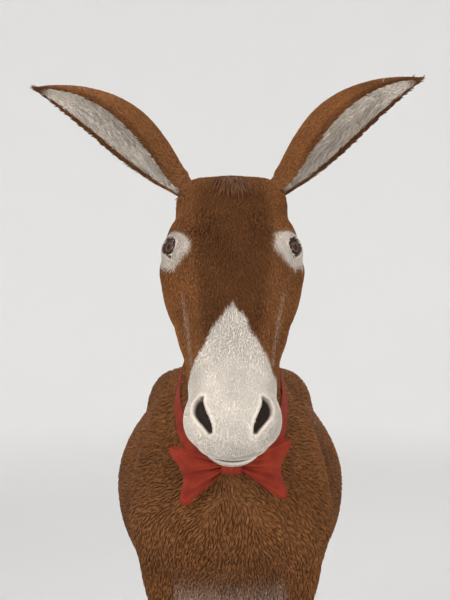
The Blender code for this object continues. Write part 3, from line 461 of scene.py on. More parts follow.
def in_plane(rows, front):
    """A limb whose axis lies in the plane x = 0."""
    return Limb(stations(rows, lambda y, z: (0.0, y, z), 2), front)


def leg(rows):
    return Limb(stations(rows, lambda *point: point, 3), (0, -1, 0))


LIMBS = {
    "trunk": in_plane(TRUNK, (0, 0, 1)),
    "neck": in_plane(NECK, (0, 1, 1)),
    "head": Limb(stations(HEAD, lambda down, off: head_point(0.0, down, off), 2), OFF_FACE),
    "fore_leg": leg(FORE_LEG),
    "hind_leg": leg(HIND_LEG),
    "dock": in_plane(DOCK, (0, -1, 0)),
}
PAIRED = ("fore_leg", "hind_leg")
HEAD_COLUMN = list(LIMBS).index("head")


def blend(a, b, width):
    """The smaller of two distances, with a fillet of about this width where they are close."""
    share = np.clip(0.5 + 0.5 * (b - a) / width, 0.0, 1.0)
    return b + (a - b) * share - width * share * (1 - share)


def ball(points, centre, radii, axes=None):
    """Roughly the distance from an ellipsoid, whose radii lie along the rows of axes."""
    off = points - np.asarray(centre, float)
    if axes is not None:
        off = off @ np.asarray(axes, float).T
    ratio = np.linalg.norm(off / np.asarray(radii, float), axis=1)
    return np.linalg.norm(off, axis=1) * (1 - 1 / np.maximum(ratio, 1e-3))


def bar(points, start, end, start_radius, end_radius):
    """Roughly the distance from a round bar that tapers from one radius to the other."""
    start, end = np.asarray(start, float), np.asarray(end, float)
    step = end - start
    t = np.clip((points - start) @ step / (step @ step), 0.0, 1.0)
    reach = np.linalg.norm(points - start - t[:, None] * step, axis=1)
    return reach - (start_radius + (end_radius - start_radius) * t)


def flesh(points):
    """The distance from the skin of the whole animal, negative inside."""
    pair = points.copy()
    pair[:, 0] = np.sqrt(points[:, 0] ** 2 + BODY_MIDDLE**2)
    found = LIMBS["trunk"].distance(points)
    for name, fillet in LIMB_FILLETS.items():
        limb_gap = LIMBS[name].distance(pair if name in PAIRED else points)
        found = blend(found, limb_gap, fillet)
    for centre, radii, fillet in BODY_BALLS:
        found = blend(found, ball(pair, centre, radii), fillet)
    for *form, fillet in BODY_BARS:
        found = blend(found, bar(pair, *form), fillet)
    return blend(found, head_form(points), NECK_FILLET)


def head_form(points):
    """The distance from the skin of the head alone."""
    pair = points.copy()
    pair[:, 0] = np.sqrt(points[:, 0] ** 2 + HEAD_MIDDLE**2)
    found = LIMBS["head"].distance(points)
    for centre, radii, fillet in HEAD_BALLS:
        found = blend(found, ball(pair, head_point(*centre), radii, HEAD_AXES), fillet)
    for start, end, *radii, fillet in HEAD_BARS:
        found = blend(found, bar(pair, head_point(*start), head_point(*end), *radii), fillet)
    lids = ball(pair, head_point(*EYE_PLACE), [EYE_RADIUS + LID] * 3)
    return blend(found, lids, LID_FILLET)


# ---- Meshes ----
def link(name, mesh):
    obj = bpy.data.objects.new(name, mesh)
    bpy.context.scene.collection.objects.link(obj)
    return obj


def ring_faces(count, sides, first=0, closed=False):
    """Faces between rings of points that follow each other, with both ends closed by a face or,
    where the form is closed, with the last ring joined to the first."""
    ring = np.arange(sides)
    following = np.roll(ring, -1)
    low = sides * np.arange(count if closed else count - 1)[:, None]
    high = (low + sides) % (count * sides)
    quads = np.stack([low + ring, low + following, high + following, high + ring], axis=2)
    faces = (first + quads.reshape(-1, 4)).tolist()
    if not closed:
        faces += [(first + ring[::-1]).tolist(), (first + (count - 1) * sides + ring).tolist()]
    return faces


def rings_object(name, forms, closed=False):
    """One object of closed tubes, each given as rings of points."""
    points, faces = [], []
    for rings in forms:
        count, sides = rings.shape[:2]
        faces += ring_faces(count, sides, len(points), closed)
        points += rings.reshape(-1, 3).tolist()
    mesh = bpy.data.meshes.new(name)
    mesh.from_pydata(points, [], faces)
    work = bmesh.new()
    work.from_mesh(mesh)
    bmesh.ops.recalc_face_normals(work, faces=work.faces)
    bmesh.ops.triangulate(work, faces=work.faces)
    work.to_mesh(mesh)
    work.free()
    mesh.shade_smooth()
    return link(name, mesh)


def settle(obj):
    """Replaces the object's mesh with what its modifiers make of it."""
    graph = bpy.context.evaluated_depsgraph_get()
    mesh = bpy.data.meshes.new_from_object(obj.evaluated_get(graph))
    obj.modifiers.clear()
    old = obj.data
    obj.data = mesh
    bpy.data.meshes.remove(old)
    return obj


def read(items, name, width, kind=np.float64):
    """One measure of all of a mesh's items, in rows of this width."""
    values = np.empty(len(items) * width, kind)
    items.foreach_get(name, values)
    return values.reshape(-1, width)


def read_points(mesh):
    return read(mesh.vertices, "co", 3)


def read_normals(mesh):
    return read(mesh.vertex_normals, "vector", 3)


def read_edges(mesh):
    return read(mesh.edges, "vertices", 2, np.int64)


def write(items, name, values, kind=np.float32):
    items.foreach_set(name, np.ascontiguousarray(values, kind).ravel())


def write_points(mesh, points):
    write(mesh.vertices, "co", points)
    mesh.update()


def write_colours(mesh, name, values):
    """Four numbers at each point, for the material to read."""
    write(mesh.attributes.new(name, "FLOAT_COLOR", "POINT").data, "color", values)


def neighbour_mean(points, edges):
    """The mean of each point's neighbours."""
    count = np.bincount(edges.ravel(), minlength=len(points))
    total = np.column_stack([
        np.bincount(edges[:, 0], points[edges[:, 1], axis], len(points))
        + np.bincount(edges[:, 1], points[edges[:, 0], axis], len(points))
        for axis in range(3)
    ])
    return total / count[:, None]


def fit_to_flesh(mesh, rounding):
    """Draws the mesh onto the flesh's surface. While rounding, each round also wears the creases
    down; without it the points only even out sideways."""
    edges = read_edges(mesh)
    for _ in range(4):
        points = read_points(mesh)
        normals = read_normals(mesh)
        drift = neighbour_mean(points, edges) - points
        if not rounding:
            drift -= (drift * normals).sum(1)[:, None] * normals
        points += EVENING * drift
        points -= np.clip(over_flesh(points), -0.01, 0.01)[:, None] * normals
        write_points(mesh, points)


# ---- Small tools ----
def ease(values, low, high):
    """0 below low, 1 above high, and a smooth S between them."""
    t = np.clip((values - low) / (high - low), 0.0, 1.0)
    return t * t * (3.0 - 2.0 * t)


def hump(values, middle, width):
    """A bell curve: 1 at the middle, and nearly 0 two widths from it."""
    return np.exp(-(((values - middle) / width) ** 2))


def ripple(points, length, seed):
    """Smooth noise between about -1 and 1: the sum of sines in nine directions drawn at random,
    with wavelengths round this length."""
    draw = np.random.default_rng(seed)
    ways = unit(draw.normal(size=(9, 3)))
    ways = ways * (2 * math.pi / (length * draw.uniform(0.7, 1.5, (9, 1))))
    return np.sin(points @ ways.T + draw.uniform(0, 2 * math.pi, 9)).sum(1) / 3.0


def head_place(points):
    """Points in the head's own frame: across, down and off the face."""
    return (points - POLL) @ HEAD_AXES.T


def mirrored_left(points):
    """The same points, with the right half of the animal laid over the left half."""
    return np.column_stack([np.abs(points[:, 0]), points[:, 1], points[:, 2]])


def in_chunks(function, points):
    """The function's values on many points, worked out a few thousand at a time."""
    starts = range(0, len(points), CHUNK)
    return np.concatenate([function(points[at : at + CHUNK]) for at in starts])


def over_flesh(points):
    """How high many points are over the flesh."""
    return in_chunks(flesh, points)


def dress(obj, finish, slot, *nodes):
    """Gives a piece its material, and puts it on the animal in the place of these solids."""
    wear(obj, finish)
    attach(obj, "root")
    if nodes:
        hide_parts(*nodes)
    return obj


# ---- Shape of the skin ----
def eye_frame(sign):
    """An eye's middle, and its axes: along the gap of the lids, up across it, and outwards."""
    centre = head_point(sign * EYE_PLACE[0], *EYE_PLACE[1:])
    aim = unit(np.array([sign * EYE_AIM[0], *EYE_AIM[1:]]) @ HEAD_AXES)
    long_way = unit(DOWN_FACE - (DOWN_FACE @ aim) * aim)
    high_way = np.cross(aim, long_way)
    if high_way @ OFF_FACE < 0:
        high_way = -high_way
    return centre, np.array([long_way, high_way, aim])


def eye_reach(points):
    """The distance from the middle of the nearer eye."""
    return np.linalg.norm(mirrored_left(points) - eye_frame(1.0)[0], axis=1)


def onto_skin(points, sink):
    """The places this deep under the flesh's surface that are nearest to the points."""
    points = np.array(points, float)
    step = 0.002
    for _ in range(6):
        slope = np.column_stack([
            flesh(points + step * way) - flesh(points - step * way) for way in np.eye(3)
        ])
        points = points - (flesh(points) + sink)[:, None] * unit(slope)
    return points


def nostril_distance(pair):
    """Distance from the bent slit of a nostril, negative inside."""
    bars = zip(NOSTRIL_PATH[:-1], NOSTRIL_PATH[1:], NOSTRIL_RADII[:-1], NOSTRIL_RADII[1:])
    return np.minimum.reduce([bar(pair, start, end, r, s) for start, end, r, s in bars])


def hollows(pair):
    """Distance from the hollows of the skin: the nostrils, the hollow between the jaws, the one
    over each eye, and the grooves between bone and tendon on the legs."""
    yield nostril_distance(pair), 0.005
    for centre, radii, fillet in HEAD_HOLLOWS:
        yield ball(pair, head_point(*centre), radii, HEAD_AXES), fillet
    for start, end, radius in LEG_GROOVES:
        for side in (-1.0, 1.0):
            aside = np.array([side * 0.026, 0.0, 0.0])
            yield bar(pair, start + aside, end + aside, radius, radius), 0.008


NOSTRIL_ROWS = smooth_rows(NOSTRIL, 3)
NOSTRIL_PATH = onto_skin([head_point(*row[:3]) for row in NOSTRIL_ROWS], 0.005)
NOSTRIL_RADII = NOSTRIL_ROWS[:, 3]


def skin_form(points):
    """The distance from the skin: the flesh with each hollow taken out of it."""
    found = flesh(points)
    for hollow, fillet in hollows(mirrored_left(points)):
        found = -blend(-found, hollow, fillet)
    return found


def lid_gap(places):
    """How far inside the gap between the lids a place is, from its distances along and up across
    the gap: the smaller of those to the upper and the lower lid."""
    half, over, under = EYE_OPENING
    share = np.clip(np.abs(places[:, 0]) / half, 0.0, 1.0)
    upper = over * (1.0 - share**2.4)
    lower = under * (1.0 - share**2.0)
    gap = np.minimum(upper - places[:, 1], places[:, 1] + lower)
    return gap - np.maximum(np.abs(places[:, 0]) - half, 0.0)


def lid_relief(points, sign):
    """Where lid points go: in the gap the skin dips behind the eyeball, with a rounded rim, and
    over and under it are the creases of the lids. Returns the points and how bare they are."""
    centre, axes = eye_frame(sign)
    off = points - centre
    places = off @ axes.T
    reach = np.linalg.norm(off, axis=1)
    arc = np.column_stack([
        EYE_RADIUS * np.arctan2(places[:, 0], places[:, 2]),
        EYE_RADIUS * np.arctan2(places[:, 1], places[:, 2]),
    ])
    near = ease(places[:, 2], 0.002, 0.008) * (1.0 - ease(reach, 0.036, 0.046))
    gap = lid_gap(arc)
    dip = ease(gap, -0.0012, 0.0006) * near
    height = reach * (1 - dip) + (EYE_RADIUS - 0.0018) * dip
    upper = ease(arc[:, 1], -0.002, 0.004)
    crease = sum(
        depth * hump(gap, middle, width) * (upper if over else 1 - upper)
        for over, depth, middle, width in LID_CREASES
    )
    rim = 0.0007 * hump(gap, -0.0022, 0.0014)
    height += (rim - crease) * near * (1 - dip)
    bare = 0.92 * near * ease(gap, -0.0026, -0.0010)
    return centre + off * (height / np.maximum(reach, 1e-6))[:, None], bare


def mouth_line(place):
    """How far a head point is over the line between the lips, which rises to its corners."""
    _, down, off = place.T
    return off - (MOUTH_FRONT[1] + MOUTH_RISE * np.clip(MOUTH_FRONT[0] - down, 0.0, 0.2))


def mouth_relief(points, normals):
    """Moves points of the lips: a groove along the mouth line, and a roll of lip beside it."""
    place = head_place(points)
    over = mouth_line(place)
    along = ease(place[:, 1], MOUTH_CORNER - 0.004, MOUTH_CORNER + 0.012)
    groove = -0.0060 * hump(over, 0.0, 0.0019) + 0.0018 * hump(np.abs(over), 0.0065, 0.0038)
    return points + (groove * along)[:, None] * normals, along * hump(over, 0.0, 0.0054)


def fine_relief(points, normals):
    """Small folds: the wrinkles of the muzzle and the brow, and the skin's soft unevenness."""
    place = head_place(points)
    across, down, off = place.T
    muzzle = ease(down, 0.37, 0.44) * ease(off, -0.20, -0.17)
    phase = 2 * math.pi * (down + 0.35 * np.abs(across)) / 0.012 + 3.0 * ripple(points, 0.03, 3)
    lift = 0.0002 * muzzle * np.sin(phase) * ease(np.abs(across), 0.012, 0.035)
    reach = eye_reach(points)
    brow = hump(reach, 0.040, 0.010) * ease(off, -0.03, 0.0)
    lift += 0.0005 * brow * np.sin(2 * math.pi * reach / 0.0075)
    lift += 0.0010 * ripple(points, 0.09, 5) * ease(-down, -0.02, 0.05)
    return points + lift[:, None] * normals


def refine(mesh, chosen):
    """Halves the edges of the faces whose middles are chosen."""
    picked = np.flatnonzero(chosen(read(mesh.polygons, "center", 3)))
    work = bmesh.new()
    work.from_mesh(mesh)
    work.faces.ensure_lookup_table()
    edges = {edge for index in picked for edge in work.faces[index].edges}
    bmesh.ops.subdivide_edges(work, edges=list(edges), cuts=1, use_grid_fill=True)
    work.to_mesh(mesh)
    work.free()


def settle_region(mesh, rounds, chosen):
    """Draws the chosen points onto the skin's surface while they even out sideways."""
    edges = read_edges(mesh)
    points = read_points(mesh)
    inside = np.flatnonzero(chosen(points))
    for _ in range(rounds):
        normals = read_normals(mesh)[inside]
        drift = (neighbour_mean(points, edges) - points)[inside]
        drift -= (drift * normals).sum(1)[:, None] * normals
        moved = points[inside] + EVENING * drift
        moved -= np.clip(in_chunks(skin_form, moved), -0.006, 0.006)[:, None] * normals
        points[inside] = moved
        write_points(mesh, points)


def on_head(points):
    """The head, from the poll to the lips, with the throat left out."""
    _, down, off = head_place(points).T
    front = (off > -0.215) & (off < 0.05 + 0.3 * (down > 0))
    return (down > -0.045) & front & (points[:, 1] < -0.47)


def on_face_parts(points):
    """The parts of the head with small forms: the eyes and the muzzle."""
    return on_head(points) & ((eye_reach(points) < 0.052) | (head_place(points)[:, 1] > 0.400))


def on_rims(points):
    """The lids, and the lips and nostrils."""
    pair = mirrored_left(points)
    place = head_place(pair)
    lips = (np.abs(mouth_line(place)) < 0.009) & (place[:, 1] > MOUTH_CORNER - 0.01)
    nostrils = nostril_distance(pair) < 0.008
    return on_head(points) & ((eye_reach(points) < 0.034) | lips | nostrils)


def on_legs(points):
    """The legs from the knee and the hock down."""
    return points[:, 2] < KNEE_TOP


def first_form():
    """The limbs' rings as closed tubes, which overlap."""
    forms = []
    for name, limb in LIMBS.items():
        rings = limb.rings(LIMB_SIDES)
        forms.append(rings)
        if name in PAIRED:
            forms.append(rings * np.array([-1.0, 1.0, 1.0]))
    return rings_object("skin", forms)


def make_body():
    """The skin of the body and head. The tubes of the limbs are meshed as one body in even cells
    and drawn onto the flesh's surface. The head and legs then get finer faces, the eyes and
    muzzle finer ones still, and lids, lips and folds are raised on them."""
    obj = first_form()
    for cell, rounding in BODY_CELLS:
        cells = obj.modifiers.new("cells", "REMESH")
        cells.mode = "VOXEL"
        cells.voxel_size = cell
        settle(obj)
        fit_to_flesh(obj.data, rounding)
    mesh = obj.data
    refine(mesh, lambda middles: on_head(middles) | on_legs(middles))
    settle_region(mesh, 3, lambda points: np.full(len(points), True))
    for rounds, region in ((4, on_face_parts), (3, on_rims)):
        refine(mesh, region)
        settle_region(mesh, rounds, region)
    return obj


def raise_details(mesh):
    """Lids, lips and folds, and how bare of hair the skin is there."""
    points = fine_relief(read_points(mesh), read_normals(mesh))
    points, bare = mouth_relief(points, read_normals(mesh))
    for sign in SIDES.values():
        points, lids = lid_relief(points, sign)
        bare = np.maximum(bare, lids)
    reach = nostril_distance(mirrored_left(points))
    points += (0.0016 * hump(reach, 0.0030, 0.0028))[:, None] * read_normals(mesh)
    write_points(mesh, points)
    depth = -over_flesh(points)
    # Skin deep in a nostril is barer the deeper it lies: this keeps hair out, and the skin's
    # material darkens the barest skin as painted shade.
    sunk = 0.62 * ease(depth, 0.0014, 0.0028) + 0.38 * ease(depth, 0.0030, 0.0110)
    sunk = sunk * (head_place(points)[:, 1] > 0.40)
    return np.maximum.reduce([bare, sunk, 0.62 * (1.0 - ease(reach, 0.0004, 0.0032))])


# ---- Ears ----
def ear_axes(side):
    """An ear's root, and the ways out along it, up across it, to its back, and over its back."""
    sign = SIDES[side]
    cosine, sine = math.cos(EAR_RISE[side]), math.sin(EAR_RISE[side])
    outward = np.array([sign * cosine, 0.0, sine])
    above = np.array([-sign * sine, 0.0, cosine])
    forward = np.array([0.0, -1.0, 0.0])
    cosine, sine = math.cos(EAR_OPENING), math.sin(EAR_OPENING)
    back = -cosine * forward + sine * above
    upper = sine * forward + cosine * above
    return head_point(sign * EAR_ROOT[0], *EAR_ROOT[1:]), outward, above, back, upper


def ear_row(share):
    """The radius of the rolled leaf and half its wrap, at shares of its length."""
    shares, radii, wraps = smooth_rows(EAR, 8).T
    return np.interp(share, shares, radii), np.interp(share, shares, wraps)


def ear_places(side, share, turn, depth):
    """Points of an ear's rolled leaf: share is how far out, from 0 to 1, turn is how far round
    the leaf from its middle, from -1 to 1, and depth is how far under its outer face. Each
    section is an arc round a line that arches up. Returns the points and the ways out."""
    root, outward, above, back, upper = ear_axes(side)
    radius, wrap = ear_row(share)
    angle = turn * wrap
    bow = EAR_BOW * np.sin(math.pi * share)
    centre = root + (EAR_LENGTH * share)[..., None] * outward + bow[..., None] * above
    away = np.cos(angle)[..., None] * back + np.sin(angle)[..., None] * upper
    return centre + (radius - np.minimum(depth, 0.85 * radius))[..., None] * away, away


def ear_shares(points, side):
    """The other way round: share, turn and depth of points by an ear."""
    root, outward, above, back, upper = ear_axes(side)
    off = points - root
    share = np.clip(off @ outward / EAR_LENGTH, 0.0, 1.0)
    off = off - (EAR_BOW * np.sin(math.pi * share))[:, None] * above
    radius, wrap = ear_row(share)
    turn = np.arctan2(off @ upper, off @ back) / wrap
    return share, turn, radius - np.hypot(off @ upper, off @ back)


def ear_wall(turn):
    """How thick an ear's skin is: thinner towards both rims."""
    return EAR_SKIN * (0.45 + 0.55 * np.cos(np.clip(turn, -1, 1) * math.pi / 2))


def in_hollow(turn, depth):
    """Whether places of an ear are on the face in its hollow."""
    return depth > EAR_COAT + 0.5 * ear_wall(turn)


def ear_object(side):
    """An ear as a closed leaf: a grid out along its back joined with one in its hollow, with soft
    ridges along the hollow."""
    share = np.linspace(0.0, 0.997, 72)[:, None]
    turn = np.sin(np.linspace(-0.5, 0.5, 27) * math.pi)[None, :]
    share, turn = np.broadcast_arrays(share, turn)
    ridges = 0.0009 * np.cos(turn * 4.5 * math.pi)
    ridges = ridges * ease(share, 0.1, 0.3) * ease(-share, -0.95, -0.7)
    deep = EAR_COAT + ear_wall(turn) + ridges * np.cos(turn * math.pi / 2)
    outer, _ = ear_places(side, share, turn, EAR_COAT)
    inner, _ = ear_places(side, share, turn, deep)
    return rings_object(f"ear_form_{side}", [np.concatenate([outer, inner[:, ::-1]], axis=1)])


def join_ears(obj):
    """Joins the ears to the skin as one surface, and softens it round their roots."""
    for side in SIDES:
        ear = ear_object(side)
        step = obj.modifiers.new("ear", "BOOLEAN")
        step.operation = "UNION"
        step.object = ear
        step.solver = "MANIFOLD"
        settle(obj)
        bpy.data.objects.remove(ear, do_unlink=True)
    mesh = obj.data
    points, edges = read_points(mesh), read_edges(mesh)
    reach = np.full(len(points), 1.0)
    for side in SIDES:
        for turn in np.linspace(-1.0, 1.0, 40):
            line, _ = ear_places(side, 0.4 * even(50), np.full(50, turn), EAR_COAT)
            exit_place = line[(flesh(line) > 0).argmax()]
            reach = np.minimum(reach, np.linalg.norm(points - exit_place, axis=1))
    share = (0.6 * (1 - ease(reach, 0.003, 0.014)))[:, None]
    for _ in range(8):
        points += share * (neighbour_mean(points, edges) - points)
    write_points(mesh, points)


# ---- Colours of the coat ----
def coat_marks(points):
    """The markings at each point: how pale the coat is, how dark, and its tone, each from 0 to 1.
    The muzzle is pale up to a slanting edge, and so are rings round the eyes, the belly, the
    inner legs and the hollows of the ears. The middle of the face is dark, and so are the rims of
    the ears, a stripe along the back and a cross over the withers."""
    pair = mirrored_left(points)
    across, down, off = head_place(pair).T
    x, y, z = pair.T
    wobble = ripple(points, 0.030, 21)
    head = 1 - ease(np.linalg.norm(points - head_point(0.0, 0.24, -0.06), axis=1), 0.31, 0.35)
    head = head * ease(off, -0.215, -0.185)
    edge = MUZZLE_EDGE[0] + MUZZLE_EDGE[1] * np.clip(across / 0.062, 0, 1.3) ** 1.1 + 0.004 * wobble
    muzzle = head * ease(down, edge - 0.007, edge + 0.007)
    # Painted shade: close round each nostril the pale muzzle is a little less pale.
    muzzle = muzzle * (0.80 + 0.20 * ease(nostril_distance(pair), 0.001, 0.009))
    ring = 0.8 * (1 - ease(eye_reach(points) + 0.002 * wobble, 0.033, 0.041)) * head
    # Painted highlight: a faint pale line along the crest below each eye.
    streak = bar(pair, *(head_point(*end) for end in STREAK), 0.001, 0.001)
    streak = 0.17 * (1 - ease(streak, 0.0, 0.006)) * head
    belly = (1 - ease(z + 0.012 * wobble, 0.625, 0.705)) * ease(-x, -0.22, -0.15)
    belly = belly * (1 - ease(LIMBS["trunk"].distance(points), 0.004, 0.020)) * ease(z, 0.50, 0.60)
    inner_leg = ease(np.interp(z, [0.0, 0.5, 0.7], [0.106, 0.109, 0.122]) - x, 0.0, 0.022)
    inner_leg = 0.55 * inner_leg * (1 - ease(z, 0.62, 0.78)) * (1 - ease(y, 0.66, 0.70))
    half = np.interp(down, [0.0, 0.12, 0.36], [0.060, 0.068, 0.044])
    middle = (1 - ease(across, half - 0.012, half + 0.008)) * ease(off, -0.05, -0.02)
    middle = 0.9 * middle * head * ease(down, -0.02, 0.03)
    over_back = ease(z, 0.97, 1.02) * ease(y, -0.42, -0.30)
    stripe = 0.8 * (1 - ease(x + 0.003 * wobble, 0.010, 0.024)) * over_back
    cross = 1 - ease(np.abs(y + 0.035 - 0.1 * x) + 0.004 * wobble, 0.012, 0.028)
    cross = cross * ease(z, 0.83, 0.93)
    feet = 0.5 * (1 - ease(z, 0.10, 0.22))
    ears = flesh(points) > EARS_OUT
    inside, rims = np.zeros(len(points)), np.zeros(len(points))
    for side, sign in SIDES.items():
        mine = np.flatnonzero(ears & (points[:, 0] * sign > 0))
        share, turn, depth = ear_shares(points[mine], side)
        rim = np.maximum(ease(np.abs(turn), 0.86, 0.93), ease(share, 0.90, 0.96))
        inside[mine] = in_hollow(turn, depth) * (1 - rim) * ease(share, 0.05, 0.11)
        rims[mine] = 0.85 * rim * ease(share, 0.12, 0.30)
    pale = np.where(ears, 0.0, np.maximum.reduce([muzzle, ring, streak, 0.85 * belly, inner_leg]))
    dark = np.where(ears, 0.0, np.maximum.reduce([middle, stripe, 0.6 * cross * (1 - head), feet]))
    pale, dark = np.maximum(pale, 0.92 * inside), np.maximum(dark, rims)
    tone = 0.5 + 0.18 * ripple(points, 0.16, 22) + 0.10 * ripple(points, 0.045, 23) + 0.5 * inside
    return np.column_stack([pale, dark * (1 - pale), np.clip(tone, 0, 1)])


# ---- Lie and size of the coat ----
def limb_gaps(points):
    """The distance from each limb, as columns in the order of LIMBS."""
    pair = mirrored_left(points)
    return np.column_stack([
        limb.distance(pair if name in PAIRED else points) for name, limb in LIMBS.items()
    ])


def coat_ways(points, normals, gaps):
    """The way the hair lies: down the face and back over the cheeks, down the neck, back along
    the trunk and down its flanks, and down the legs and tail, blended by how near each limb is,
    with a slow swirl. On the ears it lies out along them."""
    sign = np.sign(points[:, :1])
    across, _, off = head_place(mirrored_left(points)).T
    cheek = ease(-off, 0.05, 0.13)[:, None]
    outwards = 0.3 * sign * ACROSS * ease(across, 0.0, 0.05)[:, None]
    ways = {name: np.array(way) for name, way in HAIR_WAYS.items()}
    ways["head"] = DOWN_FACE * (1 - 0.55 * cheek) - 0.8 * OFF_FACE * cheek + outwards
    near = np.exp(-(gaps - gaps.min(1, keepdims=True)) / 0.03)
    near /= near.sum(1, keepdims=True)
    total = sum(near[:, [at]] * ways[name] for at, name in enumerate(LIMBS))
    total = total + 0.22 * ACROSS * ripple(points, 0.22, 31)[:, None]
    total = total + np.array([0.0, 0.0, 0.18]) * ripple(points, 0.17, 32)[:, None]
    ears = flesh(points) > EARS_OUT
    for side, side_sign in SIDES.items():
        total[ears & (points[:, 0] * side_sign > 0)] = ear_axes(side)[1]
    total -= (total * normals).sum(1, keepdims=True) * normals
    return unit(total)


def coat_sizes(points, gaps):
    """How far apart the tufts are, how long and wide they are, and how high their tips stand:
    long on the body, shorter on the neck and legs, and short and fine on head and muzzle."""
    down = head_place(points)[:, 1]
    head = 1 - ease(gaps[:, HEAD_COLUMN], 0.0, 0.06)
    zones = {
        "neck": ease(-points[:, 1], 0.18, 0.34) * ease(points[:, 2], 0.85, 1.0),
        "leg": 1 - ease(points[:, 2], 0.30, 0.62),
        "head": head,
        "muzzle": head * ease(down, 0.34, 0.42),
        "lids": head * (1 - ease(eye_reach(points), 0.030, 0.042)),
        "ears": 1.0 * (flesh(points) > EARS_OUT),
    }
    sizes = np.tile(COAT_SIZES["body"], (len(points), 1))
    for zone, share in zones.items():
        sizes += share[:, None] * (np.array(COAT_SIZES[zone]) - sizes)
    return sizes


def band_reach(points):
    """How far points of the neck are from the plane in which the band runs round it."""
    off = points - BAND_CENTRE
    return np.where(np.linalg.norm(off, axis=1) < 0.25, np.abs(off @ BAND_WIDTHWISE), 1.0)


def scatter(mesh, density):
    """Places on a mesh, as points and normals. density is how many there are to the square metre
    at each of its points, and the places follow each other evenly over the triangles' areas."""
    mesh.calc_loop_triangles()
    corners = read(mesh.loop_triangles, "vertices", 3, np.int64)
    points, normals = read_points(mesh), read_normals(mesh)
    a, b, c = (points[corners[:, at]] for at in range(3))
    areas = np.linalg.norm(np.cross(b - a, c - a), axis=1) / 2
    sums = np.cumsum(areas * density[corners].mean(1))
    picks = np.searchsorted(sums, np.arange(RANDOM.uniform(), sums[-1], 1.0))
    u, v = RANDOM.uniform(size=(2, len(picks)))
    fold = u + v > 1
    u, v = np.where(fold, 1 - u, u), np.where(fold, 1 - v, v)
    shares = np.column_stack([1 - u - v, u, v])
    place = sum(shares[:, [at]] * points[corners[picks, at]] for at in range(3))
    normal = sum(shares[:, [at]] * normals[corners[picks, at]] for at in range(3))
    return place, unit(normal)


def turned(ways, normals, angles):
    """Directions turned about the normals."""
    return np.cos(angles)[:, None] * ways + np.sin(angles)[:, None] * np.cross(normals, ways)


# ---- Locks ----
def locks_object(name, lines, sides, ridges, widths, marks, patches):
    """An object of many tapering locks. Each lock is a blade along a line of points: its sections
    are flat triangles, from an edge on the left over a low ridge to an edge on the right, and it
    ends in a point. lines are points (lock, place, 3), the last one the tip. Each lock's patch of
    the map starts at its own corner and is PATCH across."""
    count, places = lines.shape[:2]
    sections = places - 1
    half = 0.5 * widths[:, :sections, None] * sides[:, None]
    ridge = 0.35 * widths[:, :sections, None] * ridges[:, None]
    body = lines[:, :sections]
    rings = np.stack([body - half, body + ridge, body + half], axis=2)
    points = np.concatenate([rings.reshape(count, -1, 3), lines[:, -1:]], axis=1)
    one = [(0, 2, 1)]
    for low in range(0, 3 * (sections - 1), 3):
        for a, b in ((low, low + 1), (low + 1, low + 2), (low + 2, low)):
            one += [(a, b, b + 3), (a, b + 3, a + 3)]
    last, tip = 3 * (sections - 1), 3 * sections
    one += [(last, last + 1, tip), (last + 1, last + 2, tip), (last + 2, last, tip)]
    faces = (np.arange(count)[:, None, None] * (tip + 1) + np.array(one)[None]).reshape(-1, 3)
    along = np.append(np.repeat(even(places)[:-1], 3), 1.0)
    over = np.append(np.tile([0.0, 0.5, 1.0], sections), 0.5)
    spots = patches[:, None, :] + PATCH * np.stack([over, along], axis=1)[None]
    shared = np.repeat(marks[:, None, :], tip + 1, axis=1)
    ways_along = np.broadcast_to(along[None, :, None], (count, tip + 1, 1))
    mesh = bpy.data.meshes.new(name)
    mesh.vertices.add(count * (tip + 1))
    write(mesh.vertices, "co", points)
    mesh.loops.add(faces.size)
    write(mesh.loops, "vertex_index", faces, np.int32)
    mesh.polygons.add(len(faces))
    write(mesh.polygons, "loop_start", np.arange(0, faces.size, 3), np.int32)
    mesh.update(calc_edges=True)
    write(mesh.uv_layers.new(name="OFBake").data, "uv", spots.reshape(-1, 2)[faces.ravel()])
    write_colours(mesh, "Coat", np.concatenate([shared, ways_along], axis=2))
    mesh.shade_smooth()
    return link(name, mesh)


def on_map(along, over, low=0.005, room=0.985):
    """Places on the map for patches, from how far along and over it they are, from 0 to 1."""
    return low + room * np.column_stack([along, over])


def limb_spots(limb, points):
    """Where points lie on a limb's unwrap: how far along and how far round it, from 0 to 1."""
    near = np.concatenate([
        np.linalg.norm(some[:, None] - limb.axis[None], axis=2).argmin(1)
        for some in np.array_split(points, max(1, len(points) // 8192))
    ])
    off = points - limb.axis[near]
    x, z, past = ((off * ways[near]).sum(1) for ways in (limb.side, limb.front, limb.along))
    along = np.clip((limb.arc[near] + past) / limb.arc[-1], 0.0, 1.0)
    return on_map(along, np.arctan2(x, z) / (2 * math.pi) + 0.5)


def coat_lines(roots, normals, ways, sizes, on_ears):
    """Lines of short hair: from a little under the skin they bend down along it, and they end at
    their height over it. Off the ears each place is set at its height over the flesh."""
    lines = roots[:, None] + (sizes[:, 1:2] * even(3))[..., None] * ways[:, None]
    aims = sizes[:, 3:4] * np.array(TUFT_LIFT)
    away = over_flesh(lines.reshape(-1, 3)).reshape(aims.shape)
    rise = np.where(on_ears[:, None], aims, np.clip(aims - away, -0.012, 0.012))
    return lines + rise[..., None] * normals[:, None]


